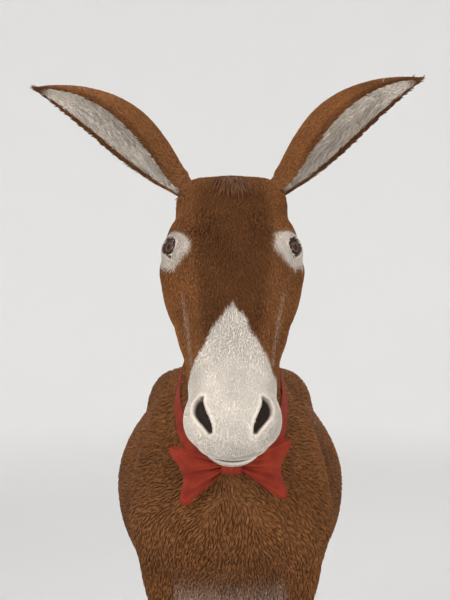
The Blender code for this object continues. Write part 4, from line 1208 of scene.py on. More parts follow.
def make_coat(skin, fill, length):
    """The short coat: tufts scattered over the skin, as close and as long as the place asks, in
    pieces that follow the limbs."""
    mesh = skin.data
    points = read_points(mesh)
    bare = read(mesh.attributes["Coat"].data, "color", 4, np.float32)[:, 3]
    sizes = in_chunks(lambda some: coat_sizes(some, limb_gaps(some)), points)
    density = fill * (1 - ease(bare, 0.2, 0.6)) * (1 - in_hoof(points)) / sizes[:, 0] ** 2
    roots, normals = scatter(mesh, density)
    gaps = in_chunks(limb_gaps, roots)
    sizes = coat_sizes(roots, gaps)
    on_ears = over_flesh(roots) > EARS_OUT
    nearest = gaps.argmin(1)
    ways = coat_ways(roots, normals, gaps)
    ways = turned(ways, normals, RANDOM.normal(0.0, 0.17, len(roots)))
    place = head_place(roots)
    lips = (place[:, 1] > MOUTH_CORNER) & (nearest == HEAD_COLUMN)
    sizes[:, 1] *= np.where(lips, 0.35 + 0.65 * ease(np.abs(mouth_line(place)), 0.004, 0.012), 1.0)
    sizes[:, 1] *= 0.35 + 0.65 * ease(nostril_distance(mirrored_left(roots)), 0.001, 0.011)
    sizes[:, 1] *= length * RANDOM.uniform(0.7, 1.3, len(roots))
    sizes[:, 2] *= RANDOM.uniform(0.75, 1.25, len(roots))
    pressed = 0.45 + 0.55 * ease(band_reach(roots), 0.012, 0.030)
    sizes[:, 3] *= RANDOM.uniform(0.7, 1.2, len(roots)) * pressed
    marks = coat_marks(roots)
    marks[:, 2] = np.clip(marks[:, 2] + RANDOM.normal(0.0, 0.14, len(roots)), 0, 1)
    lines = coat_lines(roots, normals, ways, sizes, on_ears)
    flows = np.cross(ways, normals)
    widths = sizes[:, 2:3] * np.array([0.7, 1.0])
    side = np.where(roots[:, 0] > 0, "_left", "_right")
    names = np.array(list(LIMBS))[nearest]
    parts = np.where(on_ears, "ear", names)
    side_part = np.where(np.isin(parts, ["neck", "dock"]), "", side)
    half = np.where(parts == "trunk", np.where(roots[:, 1] > TRUNK_SPLIT, "_rear", "_fore"), "")
    pieces = np.char.add(np.char.add(np.char.add("coat_", parts), side_part), half)
    for piece in sorted(set(pieces)):
        mine = np.flatnonzero(pieces == piece)
        name = names[mine[0]]
        if piece.startswith("coat_ear"):
            share, turn, depth = ear_shares(roots[mine], side[mine[0]][1:])
            over = 0.245 + 0.235 * np.clip(turn, -1, 1) + 0.5 * in_hollow(turn, depth)
            spots = np.column_stack([0.98 * share, over])
        else:
            flat = mirrored_left(roots[mine]) if name in PAIRED else roots[mine]
            spots = limb_spots(LIMBS[name], flat)
        parts = (values[mine] for values in (lines, flows, normals, widths, marks))
        yield locks_object(piece, *parts, spots)


def in_hoof(points):
    """Whether points are under the hairline of a hoof."""
    under = np.zeros(len(points), bool)
    for x, y in HOOF_CENTRES.values():
        near = np.hypot(np.abs(points[:, 0]) - x, points[:, 1] - y) < 0.09
        under |= near & (points[:, 2] < coronet_height(points[:, 1], y) - 0.003)
    return under


# ---- Long hair ----
def neck_place(share):
    """The axis of the neck and the way to its crest, at a share of its length from the poll."""
    neck = LIMBS["neck"]
    where = even(len(neck.axis))
    centre, crest = (
        np.column_stack([np.interp(1.0 - share, where, column) for column in values.T])
        for values in (neck.axis, neck.front)
    )
    return centre, unit(crest)


def surface_along(start, ways, reaches):
    """The first places out along each way from its start where the flesh ends."""
    lines = start[:, None] + reaches[None, :, None] * ways[:, None]
    away = over_flesh(lines.reshape(-1, 3)).reshape(len(start), -1)
    first = (away > 0).argmax(1)
    return lines[np.arange(len(start)), first]


def strands(name, kind, lines, ways_out, marks, spots):
    """Long strands as locks whose sides are square to the line and to the way out of the body.
    marks are the columns pale, dark and tone."""
    count, least, most, taper = LONG_HAIR[kind]
    width = RANDOM.uniform(least, most, count) if least < most else np.full(count, least)
    along = unit(lines[:, -1] - lines[:, 0])
    sides = unit(np.cross(along, ways_out))
    widths = width[:, None] * np.array(taper)
    marks = np.column_stack(np.broadcast_arrays(*marks))
    return locks_object(name, lines, sides, np.cross(sides, along), widths, marks, spots)


def steps(places):
    """Even shares along strands, to go with arrays of (strand, place, 3)."""
    return even(places)[None, :, None]


def make_mane(height_share):
    """The mane: upright strands along the crest of the neck. They lean out by how far they stand
    from its middle, bend back a little to their tips, and end at uneven heights."""
    count = LONG_HAIR["mane"][0]
    share = RANDOM.uniform(MANE[0][0] - 0.05, MANE[-1][0], count)
    aside = RANDOM.normal(0.0, 0.55, count).clip(-1, 1)
    centre, up = neck_place(share)
    tall = np.interp(share, *smooth_rows(MANE, 6).T) * height_share
    tall = np.maximum(tall * RANDOM.uniform(0.75, 1.08, count), 0.012)
    start = centre + (0.014 * aside)[:, None] * ACROSS
    roots = surface_along(start, up, np.linspace(0.02, 0.30, 113)) - 0.003 * up
    back = unit(np.cross(up, ACROSS))
    back *= np.sign(back[:, 1:2])
    lean = 0.20 * aside + 0.10 * ripple(roots, 0.07, 41) + RANDOM.normal(0.0, 0.06, count)
    sweep = 0.12 + 0.16 * ripple(roots, 0.05, 42) + RANDOM.normal(0.0, 0.10, count)
    bend = lean[:, None] * ACROSS + sweep[:, None] * back
    step = steps(4)
    lines = roots[:, None] + (tall[:, None, None] * step) * up[:, None]
    lines = lines + tall[:, None, None] * step**1.6 * bend[:, None]
    middle = np.abs(aside)
    marks = 0.16 * ease(middle, 0.55, 1.0), 0.9 - 0.4 * middle, RANDOM.uniform(0.15, 0.85, count)
    spots = on_map(share, 0.5 + 0.45 * aside)
    out = np.sign(aside + 1e-6)[:, None] * ACROSS + 0.4 * RANDOM.normal(size=(count, 3))
    return strands("mane_hair", "mane", lines, out, marks, spots)


def make_forelock():
    """The forelock: short strands from between the ears that lie forward and down on the brow."""
    count = LONG_HAIR["forelock"][0]
    aside = RANDOM.normal(0.0, 0.45, count).clip(-1, 1)
    down = RANDOM.uniform(-0.030, 0.020, count)
    start = POLL + down[:, None] * DOWN_FACE - 0.10 * OFF_FACE + (0.026 * aside)[:, None] * ACROSS
    out = np.tile(OFF_FACE, (count, 1))
    roots = surface_along(start, out, np.linspace(0.0, 0.2, 101))
    long = RANDOM.uniform(0.024, 0.046, count)
    fan = (0.30 * aside + RANDOM.normal(0.0, 0.10, count))[:, None]
    ways = unit(DOWN_FACE + fan * ACROSS)
    lines = roots[:, None] + (long[:, None] * even(4))[..., None] * ways[:, None]
    away = over_flesh(lines.reshape(-1, 3)).reshape(count, 4)
    rise = np.array([-0.002, 0.006, 0.007, 0.004]) + 0.0015 * RANDOM.normal(size=(count, 1))
    lines = lines + (rise - away)[..., None] * OFF_FACE
    marks = 0.0, 0.22, RANDOM.uniform(0.2, 0.9, count)
    spots = on_map((down + 0.03) / 0.05, 0.5 + 0.45 * aside, 0.01, 0.97)
    return strands("forelock", "forelock", lines, out, marks, spots)


def make_switch():
    """The switch of the tail: strands from all round the end of the dock. Each keeps to its own
    share of the switch's outline, which swells and then closes to a point, and waves a little."""
    count = LONG_HAIR["switch"][0]
    turn = RANDOM.uniform(0.0, 2 * math.pi, count)
    top = RANDOM.uniform(0.575, 0.730, count)
    low = RANDOM.uniform(0.325, 0.470, count)
    share = 0.35 + 0.65 * np.sqrt(RANDOM.uniform(size=count))
    dock_y, dock_z, dock_widths = smooth_rows(DOCK, LIMB_PIECES)[::-1].T[:3]
    form_z, *form = smooth_rows(SWITCH, LIMB_PIECES)[::-1].T
    step = even(7)
    z = top[:, None] + (low - top)[:, None] * step
    hanging = np.interp(z, [0.3, 0.56], [0.745, 0.752])
    y = np.where(z > 0.560, np.interp(z, dock_z, dock_y), hanging)
    dock_radius = np.interp(z, dock_z, dock_widths)
    width, fore, aft = (np.interp(z, form_z, column) for column in form)
    depth = np.where(np.sin(turn)[:, None] > 0, fore, aft)
    own = share[:, None] * (1 - 0.25 * step)
    own = own + 0.05 * np.sin(3.0 * step * math.pi + 5 * turn[:, None])
    swirl = turn[:, None] + 0.25 * np.sin(2.2 * step * math.pi + 7 * share[:, None])
    hang = ease(step, 0.0, 0.35)
    radius_x, radius_y = (
        dock_radius + hang * (own * form - dock_radius) for form in (width, depth)
    )
    radius_x[:, 0] = radius_y[:, 0] = dock_radius[:, 0] - 0.003
    lines = np.stack([radius_x * np.cos(swirl), y - radius_y * np.sin(swirl), z], axis=2)
    marks = 0.0, RANDOM.uniform(0.55, 1.0, count), RANDOM.uniform(0.2, 0.8, count)
    spots = on_map((top - 0.575) / 0.155, turn / (2 * math.pi))
    out = np.column_stack([np.cos(turn), -np.sin(turn), 0 * turn])
    return strands("tail_hair", "switch", lines, out, marks, spots)


def make_ear_hair(side):
    """Long pale hair in the hollow of an ear: strands from its walls that lean out and in."""
    count = LONG_HAIR["ear"][0]
    share = 0.13 + 0.65 * RANDOM.uniform(size=count) ** 1.2
    turn = RANDOM.choice([-1.0, 1.0], count) * (1 - 0.75 * RANDOM.uniform(size=count) ** 1.5) * 0.92
    roots, away = ear_places(side, share, turn, EAR_COAT + ear_wall(turn))
    _, outward, _, back, upper = ear_axes(side)
    angle = (turn * ear_row(share)[1])[:, None]
    round_way = -np.sin(angle) * back + np.cos(angle) * upper
    inward = -away - 0.35 * np.sign(turn)[:, None] * round_way
    long = RANDOM.uniform(0.016, 0.034, count) * (1 - 0.35 * share)
    long = long[:, None, None]
    step = steps(4)
    ways = (outward + 0.12 * RANDOM.normal(size=(count, 3)))[:, None]
    inward = inward[:, None]
    lines = roots[:, None] + long * (step * ways + 0.55 * step**0.7 * inward)
    lines = lines - 0.25 * long * step**2 * inward
    marks = RANDOM.uniform(0.75, 1.0, count), 0.0, RANDOM.uniform(size=count)
    spots = on_map(share, 0.5 + 0.5 * turn)
    return strands(f"ear_hair_{side}", "ear", lines, -away, marks, spots)


def make_lashes(side):
    """The lashes of the upper lid: stiff hairs that leave its rim and curl down and out."""
    centre, axes = eye_frame(SIDES[side])
    count = LONG_HAIR["lashes"][0]
    share = np.linspace(-0.92, 0.92, count) + RANDOM.normal(0.0, 0.012, count)
    up = EYE_OPENING[1] * (1 - np.abs(share) ** 2.4) + 0.0010
    turn, rise = share * EYE_OPENING[0] / EYE_RADIUS, up / EYE_RADIUS
    ways = np.column_stack([np.sin(turn), np.sin(rise), np.cos(turn) * np.cos(rise)])
    roots = centre + (EYE_RADIUS + 0.0005) * unit(ways) @ axes
    long = 0.0145 * (1 - 0.45 * share**2) * RANDOM.uniform(0.85, 1.15, count)
    step = steps(5)
    fan = (share + RANDOM.normal(0.0, 0.08, count))[:, None]
    out = 0.9 * unit(ways) @ axes + 0.45 * fan * axes[0] + 0.25 * axes[1]
    lines = roots[:, None] + long[:, None, None] * (step * out[:, None] - 0.55 * step**2 * axes[1])
    marks = 0.0, 1.0, RANDOM.uniform(0.0, 0.4, count)
    spots = on_map(0.5 + 0.5 * share, np.full(count, 0.5), 0.01, 0.97)
    return strands(f"lashes_{side}", "lashes", lines, axes[1], marks, spots)


# ---- Eyes and hooves ----
def make_eye(side):
    """An eyeball: a globe whose front swells as a cornea by a smooth bump round its axis."""
    centre, axes = eye_frame(SIDES[side])
    polar = np.linspace(0.02, 1.0, 46)[:, None] ** 1.25 * (math.pi - 0.02)
    turn = full_turn(56)
    radius = EYE_RADIUS + 0.0010 * (1 - ease(polar, 0.45, 0.72))
    place = grid_of(np.sin(polar) * np.cos(turn), np.sin(polar) * np.sin(turn), np.cos(polar))
    obj = rings_object(f"eye_globe_{side}", [centre + (radius[..., None] * place) @ axes])
    gaze = (read_points(obj.data) - centre) @ axes.T / EYE_RADIUS
    write_colours(obj.data, "Gaze", np.column_stack([0.5 + 0.4 * gaze, np.ones(len(gaze))]))
    return obj


def coronet_height(along, y):
    """The height of the hairline over the hoof whose centre is at y: highest at the toe."""
    return HOOF_HEIGHT - CORONET_SLOPE * (along - y)


def make_hoof(pair, side):
    """A hoof: rings up its wall from a level bearing edge to the tilted hairline, with growth
    rings as fine ripples, and a sole hollowed by a bowl."""
    sign = SIDES[side]
    x, y = HOOF_CENTRES[pair]
    angle = full_turn(HOOF_SIDES)
    form = smooth_rows(HOOF_RINGS, 12)
    toe = np.sin(angle)
    rings = []
    _, _, width, fore, aft = form[0]
    depth = np.where(toe > 0, fore, aft)
    for reach, hollow in HOOF_SOLE:
        across = sign * x + reach * width * np.cos(angle)
        rings.append(np.column_stack([across, y - reach * depth * toe, 0 * angle + hollow]))
    heel = 1 - 0.10 * hump(toe, -1.0, 0.12)
    high, turns = HOOF_GROWTH
    for share, shift, width, fore, aft in form:
        depth = np.where(toe > 0, fore, aft)
        growth = high * np.sin(2 * math.pi * turns * share + 0.6 * toe) * ease(share, 0.05, 0.2)
        swell = heel * (1 + (growth - 0.0012 * (share < 0.01)) / width)
        across = sign * x + swell * width * np.cos(angle)
        along = y + shift - swell * depth * toe
        rings.append(np.column_stack([across, along, share * coronet_height(along, y)]))
    middle = rings[-1].mean(0)
    rings.append(middle + 0.80 * (rings[-1] - middle) + np.array([0.0, 0.0, -0.002]))
    obj = rings_object(f"hoof_wall_{pair}_{side}", [np.array(rings)])
    points = read_points(obj.data)
    height = points[:, 2] / coronet_height(points[:, 1], y)
    under = 1.0 * (points[:, 2] < 0.0065) * (height < 0.2)
    ones = np.ones(len(points))
    write_colours(obj.data, "Horn", np.column_stack([height, under, ones, ones]))
    return obj


# ---- Bow ----
def step_lengths(points, closed=False):
    """The distances between points that follow each other."""
    following = np.roll(points, -1, 0) if closed else points[1:]
    return np.linalg.norm(following - points[: len(following)], axis=-1)


def cloth_object(name, outer, inner, closed):
    """A closed sheet of cloth from a grid of points on each of its two faces. Its rows run across
    the cloth; where it's closed the last row meets the first. Each point keeps how far along and
    over the cloth it is, in metres, and how near the hem, as a share of the width."""
    rows = np.concatenate([outer, inner[:, ::-1]], axis=1)
    obj = rings_object(name, [rows], closed)
    along = np.concatenate([[0.0], np.cumsum(step_lengths(outer.mean(1)))])
    wide = np.linalg.norm(outer[:, -1] - outer[:, 0], axis=1).mean()
    over = wide * even(outer.shape[1])
    over = np.concatenate([over, over[::-1]])
    along, over = (part.ravel() for part in np.broadcast_arrays(along[:, None], over[None]))
    hem = np.minimum(over, wide - over) / wide
    write_colours(obj.data, "Cloth", np.column_stack([along, over, hem, np.ones(len(hem))]))
    return obj


def thick(points, normals, share, thickness):
    """Half a cloth's thickness out along its normals, which rounds off towards both hems."""
    rounding = np.sqrt(np.clip(1 - np.abs(2 * share - 1) ** 14, 0.0, 1.0))
    return points + (0.5 * thickness * (0.15 + 0.85 * rounding))[None, :, None] * normals


def grid_normals(grid, closed):
    """Unit normals of a grid of points, from its steps both ways."""
    if closed:
        down = np.roll(grid, -1, 0) - np.roll(grid, 1, 0)
    else:
        down = np.gradient(grid, axis=0)
    return unit(np.cross(down, np.gradient(grid, axis=1)))


def make_band():
    """The band: a strip of cloth wound once round the neck, in a plane that leans to the throat.
    It lies on the pressed coat, with slack ripples along its edges."""
    turns, rows = BAND_GRID
    turn, share = full_turn(turns), even(rows)
    ways = np.cos(turn)[:, None] * BAND_DOWN + np.sin(turn)[:, None] * ACROSS
    starts = BAND_CENTRE + ((share - 0.5) * BAND_WIDTH)[:, None] * BAND_WIDTHWISE
    starts = np.tile(starts, (turns, 1))
    all_ways = np.repeat(ways, rows, axis=0)
    found = surface_along(starts, all_ways, np.linspace(0.03, 0.30, 55))
    for _ in range(5):
        found = found - over_flesh(found)[:, None] * all_ways
    found = found.reshape(turns, rows, 3)
    over = 2 * share - 1
    slack = 0.0006 * np.sin(9 * turn + 1.0)[:, None] * over**2
    slack = slack + 0.0004 * np.sin(23 * turn)[:, None] * over**3
    middle = found + (BAND_LIFT + slack)[..., None] * ways[:, None]
    normals = grid_normals(middle, True)
    normals *= np.sign((normals * ways[:, None]).sum(-1, keepdims=True))
    outer, inner = (thick(middle, way * normals, share, BAND_CLOTH) for way in (1.0, -1.0))
    obj = cloth_object("band_cloth", outer, inner, True)
    length = step_lengths(middle[:, rows // 2], True).sum()
    wide = step_lengths(middle.swapaxes(0, 1)).sum(0).mean()
    return obj


def knot_centre():
    """In front of the band at the throat."""
    front = surface_along(BAND_CENTRE[None], BAND_DOWN[None], np.linspace(0.03, 0.30, 271))[0]
    return front + COAT * BAND_DOWN + np.array([0.0, -(BAND_THICKNESS + KNOT[2] + 0.004), 0.0])


def make_knot():
    """The knot: a strip wound round the middle of the bow. It's oval from the side, pulled in at
    its middle, with creases that run round it."""
    centre = knot_centre()
    width, height, depth = KNOT
    turn, share = full_turn(96)[:, None], even(41)
    x = (2 * share - 1) * width * (1 + 0.05 * np.cos(2 * turn))
    swell = 0.84 + 0.16 * (1 - np.abs(2 * share - 1) ** 2.5)
    swell = swell - 0.12 * hump(x, -0.0085 + 0.0012 * np.sin(turn), 0.0015)
    swell = swell - 0.11 * hump(x, 0.0070 + 0.0014 * np.cos(turn + 0.6), 0.0014)
    swell = swell - 0.08 * hump(x, -0.0010 + 0.0020 * np.sin(2 * turn), 0.0013)
    round_y, round_z = (np.sign(way) * np.abs(way) ** 0.85 for way in (np.sin(turn), np.cos(turn)))
    grid = centre + grid_of(x, -swell * depth * round_y, swell * height * round_z)
    normals = grid_normals(grid, True)
    normals *= np.sign((normals * (grid - centre)).sum(-1, keepdims=True))
    obj = cloth_object("knot_cloth", grid, grid - BAND_CLOTH * normals, True)
    length = step_lengths(grid[:, 20], True).sum()
    wide = step_lengths(grid[48]).sum()
    return obj


def make_loop(side):
    """A loop of the bow: cloth that leaves the knot in front, turns over at the notched outer
    edge and comes back behind. Its angle fans out from the knot. Its reach is a sine of how far
    along the cloth it is and its depth a sine twice as fast, which makes a drop shape, and pleats
    that start at the knot ripple both layers and die away outwards."""
    sign = SIDES[side]
    centre = knot_centre()
    along = even(121)[:, None]
    over = np.linspace(-1.0, 1.0, 61)
    share = np.sin(math.pi * along) ** 0.9
    edge = LOOP_NOTCH + 1.5 * (LOOP_TIP - LOOP_NOTCH) * over**2 - 0.034 * over**8
    angle = sign * BOW_TILT - LOOP_DROOP + LOOP_SPREAD * over
    start = 0.55 * LOOP_START
    reach = start + (edge - start) * share
    drop = LOOP_BULGE * np.sin(2 * math.pi * along) * (1 - 0.45 * over**2)
    pleat = np.sin(2.6 * math.pi * over + 0.7 * sign) + 0.6 * np.sin(5.3 * math.pi * over - 1.1)
    pleat = np.sign(pleat) * np.abs(pleat) ** 0.75
    fade = 1 - 0.66 * ease(share, 0.20, 0.95)
    depth = drop + 0.0038 * pleat * fade * (0.55 + 0.45 * ease(share, 0.0, 0.3))
    wave = np.sin(3.0 * share * math.pi + 2.4 * over + sign)
    depth = depth + 0.0022 * wave * ease(share, 0.3, 0.8)
    sag = 0.0012 * np.sin(math.pi * share) * over
    x = sign * reach * np.cos(angle)
    grid = centre + grid_of(x, -depth, reach * np.sin(angle) - sag)
    normals = grid_normals(grid, False)
    outer, inner = (thick(grid, way * normals, even(61), LOOP_CLOTH) for way in (1.0, -1.0))
    obj = cloth_object(f"loop_cloth_{side}", outer, inner, False)
    wide, length = step_lengths(grid[60]).sum(), step_lengths(grid[:, 30]).sum()
    float(grid_area(grid))
    return obj


def grid_area(grid):
    """The area of a grid of points."""
    down, over = np.diff(grid, axis=0)[:, :-1], np.diff(grid, axis=1)[:-1]
    return np.linalg.norm(np.cross(down, over), axis=2).sum()


# ---- Materials ----
class Wire:
    """A value in a material's nodes: sums, products and powers with it add Math nodes."""

    def __init__(self, finish, socket):
        self.finish = finish
        self.socket = socket

    def __add__(self, other):
        return self.finish.math("ADD", self, other)

    def __sub__(self, other):
        return self.finish.math("SUBTRACT", self, other)

    def __rsub__(self, other):
        return self.finish.math("SUBTRACT", other, self)

    def __mul__(self, other):
        return self.finish.math("MULTIPLY", self, other)

    def __pow__(self, other):
        return self.finish.math("POWER", self, other)

    __radd__ = __add__
    __rmul__ = __mul__

    def ease(self, low, high):
        """0 below low, 1 above high, and a smooth S between them."""
        settings = {"interpolation_type": "SMOOTHSTEP"}
        return self.finish.node("ShaderNodeMapRange", settings, {0: self, 1: low, 2: high})


class Finish:
    """A material in the making: its nodes, and the shader that they feed."""

    def __init__(self, name, **constants):
        self.material = bpy.data.materials.new(name)
        self.material.use_nodes = True
        self.tree = self.material.node_tree
        self.shader = self.tree.nodes["Principled BSDF"]
        for label, value in constants.items():
            self.shader.inputs[label.replace("_", " ")].default_value = value

    def node(self, kind, settings, inputs, output=0):
        """Adds a node of this type, with its settings and then its inputs by name or number."""
        made = self.tree.nodes.new(kind)
        for label, value in settings.items():
            setattr(made, label, value)
        for label, value in inputs.items():
            self.feed(made.inputs[label], value)
        return Wire(self, made.outputs[output])

    def feed(self, socket, value):
        if isinstance(value, Wire):
            self.tree.links.new(value.socket, socket)
        else:
            is_row = hasattr(value, "__len__")
            socket.default_value = (*value, 1.0)[: len(socket.default_value)] if is_row else value

    def math(self, operation, *values):
        return self.node("ShaderNodeMath", {"operation": operation}, dict(enumerate(values)))

    def mix(self, share, first, second):
        """A colour between two others."""
        return self.node("ShaderNodeMix", {"data_type": "RGBA"}, {0: share, 6: first, 7: second}, 2)

    def scale(self, colour, share):
        """A colour made lighter or darker."""
        inputs = {0: colour, "Scale": share}
        return self.node("ShaderNodeVectorMath", {"operation": "SCALE"}, inputs)

    def attribute(self, name):
        """The four numbers that a mesh keeps at its points under this name."""
        colour = self.node("ShaderNodeAttribute", {"attribute_name": name}, {})
        alpha = Wire(self, colour.socket.node.outputs["Alpha"])
        return [*self.split(colour, "ShaderNodeSeparateColor"), alpha]

    def place(self):
        return self.node("ShaderNodeTexCoord", {}, {}, "Object")

    def split(self, value, kind):
        """The three parts of a vector or a colour."""
        parts = self.node(kind, {}, {0: value})
        return [Wire(self, parts.socket.node.outputs[at]) for at in range(3)]

    def noise(self, scale, detail, place=None, stretch=(1.0, 1.0, 1.0)):
        place = place or self.place()
        settings = {"operation": "MULTIPLY"}
        place = self.node("ShaderNodeVectorMath", settings, {0: place, 1: stretch})
        inputs = {"Vector": place, "Scale": scale, "Detail": detail}
        return self.node("ShaderNodeTexNoise", {}, inputs)

    def strands(self, along):
        """Fine streaks along each lock, on its patch of the map."""
        spot = self.node("ShaderNodeUVMap", {"uv_map": "OFBake"}, {})
        return self.noise(1.0, 2.0, spot, (2600.0, along, 1.0))

    def bump(self, height, distance):
        bump = self.node("ShaderNodeBump", {}, {"Height": height, "Distance": distance})
        self.feed(self.shader.inputs["Normal"], bump)

    def paint(self, colour, roughness=None):
        """Gives the shader its colour and roughness."""
        self.feed(self.shader.inputs["Base Color"], colour)
        if roughness is not None:
            self.feed(self.shader.inputs["Roughness"], roughness)
        return self.material


def coat_colour(finish, look, pale, dark, tone):
    """The coat's colour: brown, darker or paler by the markings, and uneven in tone."""
    warm = finish.noise(7.0, 2.0)
    brown = finish.mix(warm.ease(0.35, 0.65), look.brown, look.warm_brown)
    colour = finish.mix(dark, brown, look.dark_brown)
    colour = finish.mix(pale, colour, look.pale)
    return finish.scale(colour, 0.70 + 0.60 * tone + pale * (0.06 - 0.12 * tone))


def skin_finish(look):
    """The skin under the coat: the coat's own colours in shade, fine fur grain, and bare dark
    skin with pores where no hair grows."""
    finish = Finish("skin_and_undercoat", Specular_IOR_Level=0.1)
    pale, dark, tone, bare = finish.attribute("Coat")
    fur = finish.noise(420.0, 3.0)
    colour = coat_colour(finish, look, pale, dark, tone)
    colour = finish.scale(colour, 0.50 + 0.45 * fur + 0.2 * pale)
    pores = finish.noise(900.0, 2.0)
    # Painted shade: the bare skin is darker still where it is barest, deep in the nostrils, in the
    # groove of the mouth and in the gap of the lids.
    naked = finish.scale(look.bare_skin, (0.6 + 0.8 * pores) * (1.0 - 0.55 * bare.ease(0.75, 1.0)))
    finish.bump(fur * (1 - bare) + pores * bare * 0.6, 0.0012)
    return finish.paint(finish.mix(bare.ease(0.45, 0.95), colour, naked), 0.75 - 0.15 * bare)


def hair_finish(name, look, gloss, root_shade):
    """Tufts of hair: the coat's colours, darker at their roots and lighter at their tips, with
    fine strands along each tuft on its own map."""
    finish = Finish(name, Specular_IOR_Level=gloss)
    pale, dark, tone, along = finish.attribute("Coat")
    strands = finish.strands(260.0)
    colour = coat_colour(finish, look, pale, dark, tone)
    # Painted shade among the tufts: each tuft is darker at its root and lighter towards its tip,
    # where it ends a little brighter than its colour; in pale places the root is less dark.
    shade = root_shade + (1.06 - root_shade) * along.ease(0.0, 0.7)
    shade = shade + 0.5 * pale * (1.04 - shade)
    colour = finish.scale(colour, shade * (0.78 + 0.44 * strands))
    finish.bump(strands, 0.0004)
    return finish.paint(colour, 0.50 + 0.25 * strands)


def mane_finish(look):
    """Coarse dark hair of the mane, tail and lashes: lighter at its outermost tips."""
    finish = Finish("mane_hair_strands", Specular_IOR_Level=0.12)
    pale, dark, tone, along = finish.attribute("Coat")
    strands = finish.strands(200.0)
    colour = finish.mix(dark, look.brown, look.mane)
    colour = finish.mix(pale, colour, look.pale)
    shade = (0.6 + 0.8 * tone) * (0.72 + 0.35 * along) * (0.7 + 0.6 * strands)
    colour = finish.scale(colour, shade)
    finish.bump(strands, 0.0005)
    return finish.paint(colour, 0.42 + 0.25 * strands)


def eye_finish(look):
    """The eyeball: off-white with a faint vein pattern, a brown iris with fibres that run out
    from a level oval pupil, a dark ring round the iris, and a wet coat."""
    finish = Finish(
        "eyeball", Specular_IOR_Level=0.1, Roughness=0.2, Coat_Weight=0.35, Coat_Roughness=0.03
    )
    parts = finish.attribute("Gaze")
    along, up = ((part - 0.5) * 2.5 for part in parts[:2])
    reach = (along**2 + up**2) ** 0.5
    pupil = 1 - ((along * 3.5) ** 2 + (up * 6.0) ** 2).ease(0.75, 1.15)
    fibres = finish.noise(38.0, 3.0, finish.place(), (6.0, 6.0, 6.0))
    iris = finish.mix(fibres.ease(0.3, 0.7), look.iris, look.iris_deep)
    iris = finish.scale(iris, 1.25 - 0.95 * reach.ease(0.34, 0.62))
    iris = finish.mix(pupil, iris, PUPIL)
    veins = finish.noise(160.0, 4.0).ease(0.52, 0.70)
    white = finish.mix(0.25 * veins, look.eye_white, VEIN)
    white = finish.scale(white, 1.0 - 0.55 * reach.ease(0.62, 0.86))
    return finish.paint(finish.mix(reach.ease(0.58, 0.64), iris, white))


def horn_finish(look):
    """Hoof horn: dark grey-brown with fine lines down the wall, bands of growth across it, a
    paler scuffed lower edge and a dull sole."""
    finish = Finish("hoof_horn", Specular_IOR_Level=0.4)
    height, under, _, _ = finish.attribute("Horn")
    lines = finish.noise(90.0, 3.0, None, (6.0, 6.0, 0.5))
    bands = finish.noise(60.0, 2.0, None, (0.4, 0.4, 4.0))
    colour = finish.mix(lines.ease(0.3, 0.7), look.horn, look.horn_pale)
    colour = finish.scale(colour, 0.75 + 0.5 * bands)
    worn = (1 - height.ease(0.0, 0.14)) * finish.noise(120.0, 4.0).ease(0.35, 0.7)
    colour = finish.mix(worn * 0.7, colour, look.horn_worn)
    colour = finish.mix(under * 0.6, colour, look.horn_worn)
    finish.bump(lines * 0.6 + bands * 0.4, 0.0008)
    return finish.paint(colour, 0.42 + 0.25 * lines)


def cloth_finish(look):
    """Red cotton: a plain weave of threads both ways on the cloth's own measures, uneven dye, and
    hems that are lighter along their edges."""
    finish = Finish("red_cotton", Specular_IOR_Level=0.2)
    along, over, hem, _ = finish.attribute("Cloth")
    warp, weft = (finish.math("SINE", way * (2 * math.pi / THREAD)) for way in (along, over))
    weave = 0.5 + 0.25 * (warp + weft)
    dye = finish.noise(34.0, 4.0)
    colour = finish.mix(dye.ease(0.25, 0.75), look.cloth, look.cloth_deep)
    colour = finish.scale(colour, 0.86 + 0.2 * weave)
    stitch = hem.ease(0.0, 0.03) * (1 - hem.ease(0.045, 0.06))
    colour = finish.scale(colour, 1.0 + 0.35 * (1 - hem.ease(0.0, 0.025)) - 0.22 * stitch)
    finish.bump(weave + 2.0 * stitch * -0.6 + 0.8 * dye, 0.0006)
    return finish.paint(colour, 0.72 + 0.14 * dye)


def stage_finish(look):
    """Pale matt paint with a barely uneven tone."""
    finish = Finish("studio_paint", Specular_IOR_Level=0.1, Roughness=0.9)
    x, y, _ = finish.split(finish.place(), "ShaderNodeSeparateXYZ")
    reach = (x**2 + y**2) ** 0.5
    tone = finish.noise(0.7, 2.0)
    # Painted light: the paint is darker in the middle of the floor and lighter from 3 m out to the
    # foot of the bend, so that the bend and wall melt into the bright background.
    return finish.paint(finish.scale(look.stage, 0.70 + 0.02 * tone + 0.28 * reach.ease(3.0, 9.0)))


def wear(obj, finish):
    obj.data.materials.clear()
    obj.data.materials.append(finish)
    return obj


# ---- Stage ----
def make_stage():
    """The floor and backdrop in one: a bowl whose profile is level in the middle and rises far
    out in a quarter circle to an upright wall all round."""
    angle = -full_turn(96)
    bend = np.linspace(0.0, math.pi / 2, 16)
    radius = np.concatenate([[0.5, 2.0, 5.0], STAGE + STAGE * np.sin(bend), [2 * STAGE]])[:, None]
    height = np.concatenate([[0.0, 0.0, 0.0], STAGE - STAGE * np.cos(bend), [24.0]])[:, None]
    rows = grid_of(radius * np.cos(angle), radius * np.sin(angle), height)
    mesh = bpy.data.meshes.new("floor")
    mesh.from_pydata(rows.reshape(-1, 3).tolist(), [], ring_faces(*rows.shape[:2])[:-1])
    mesh.shade_smooth()
    return link("floor", mesh)


def add_aimed(name, data, place, way):
    """An object that looks along this way from its place."""
    obj = link(name, data)
    obj.location = place
    obj.rotation_euler = way.to_track_quat("-Z", "Y").to_euler()
    return obj


def add_light(name, place, target, size, watts):
    lamp = bpy.data.lights.new(name, "AREA")
    lamp.shape = "DISK"
    lamp.size = size
    lamp.energy = watts
    add_aimed(name, lamp, place, Vector(target) - Vector(place)).visible_camera = False


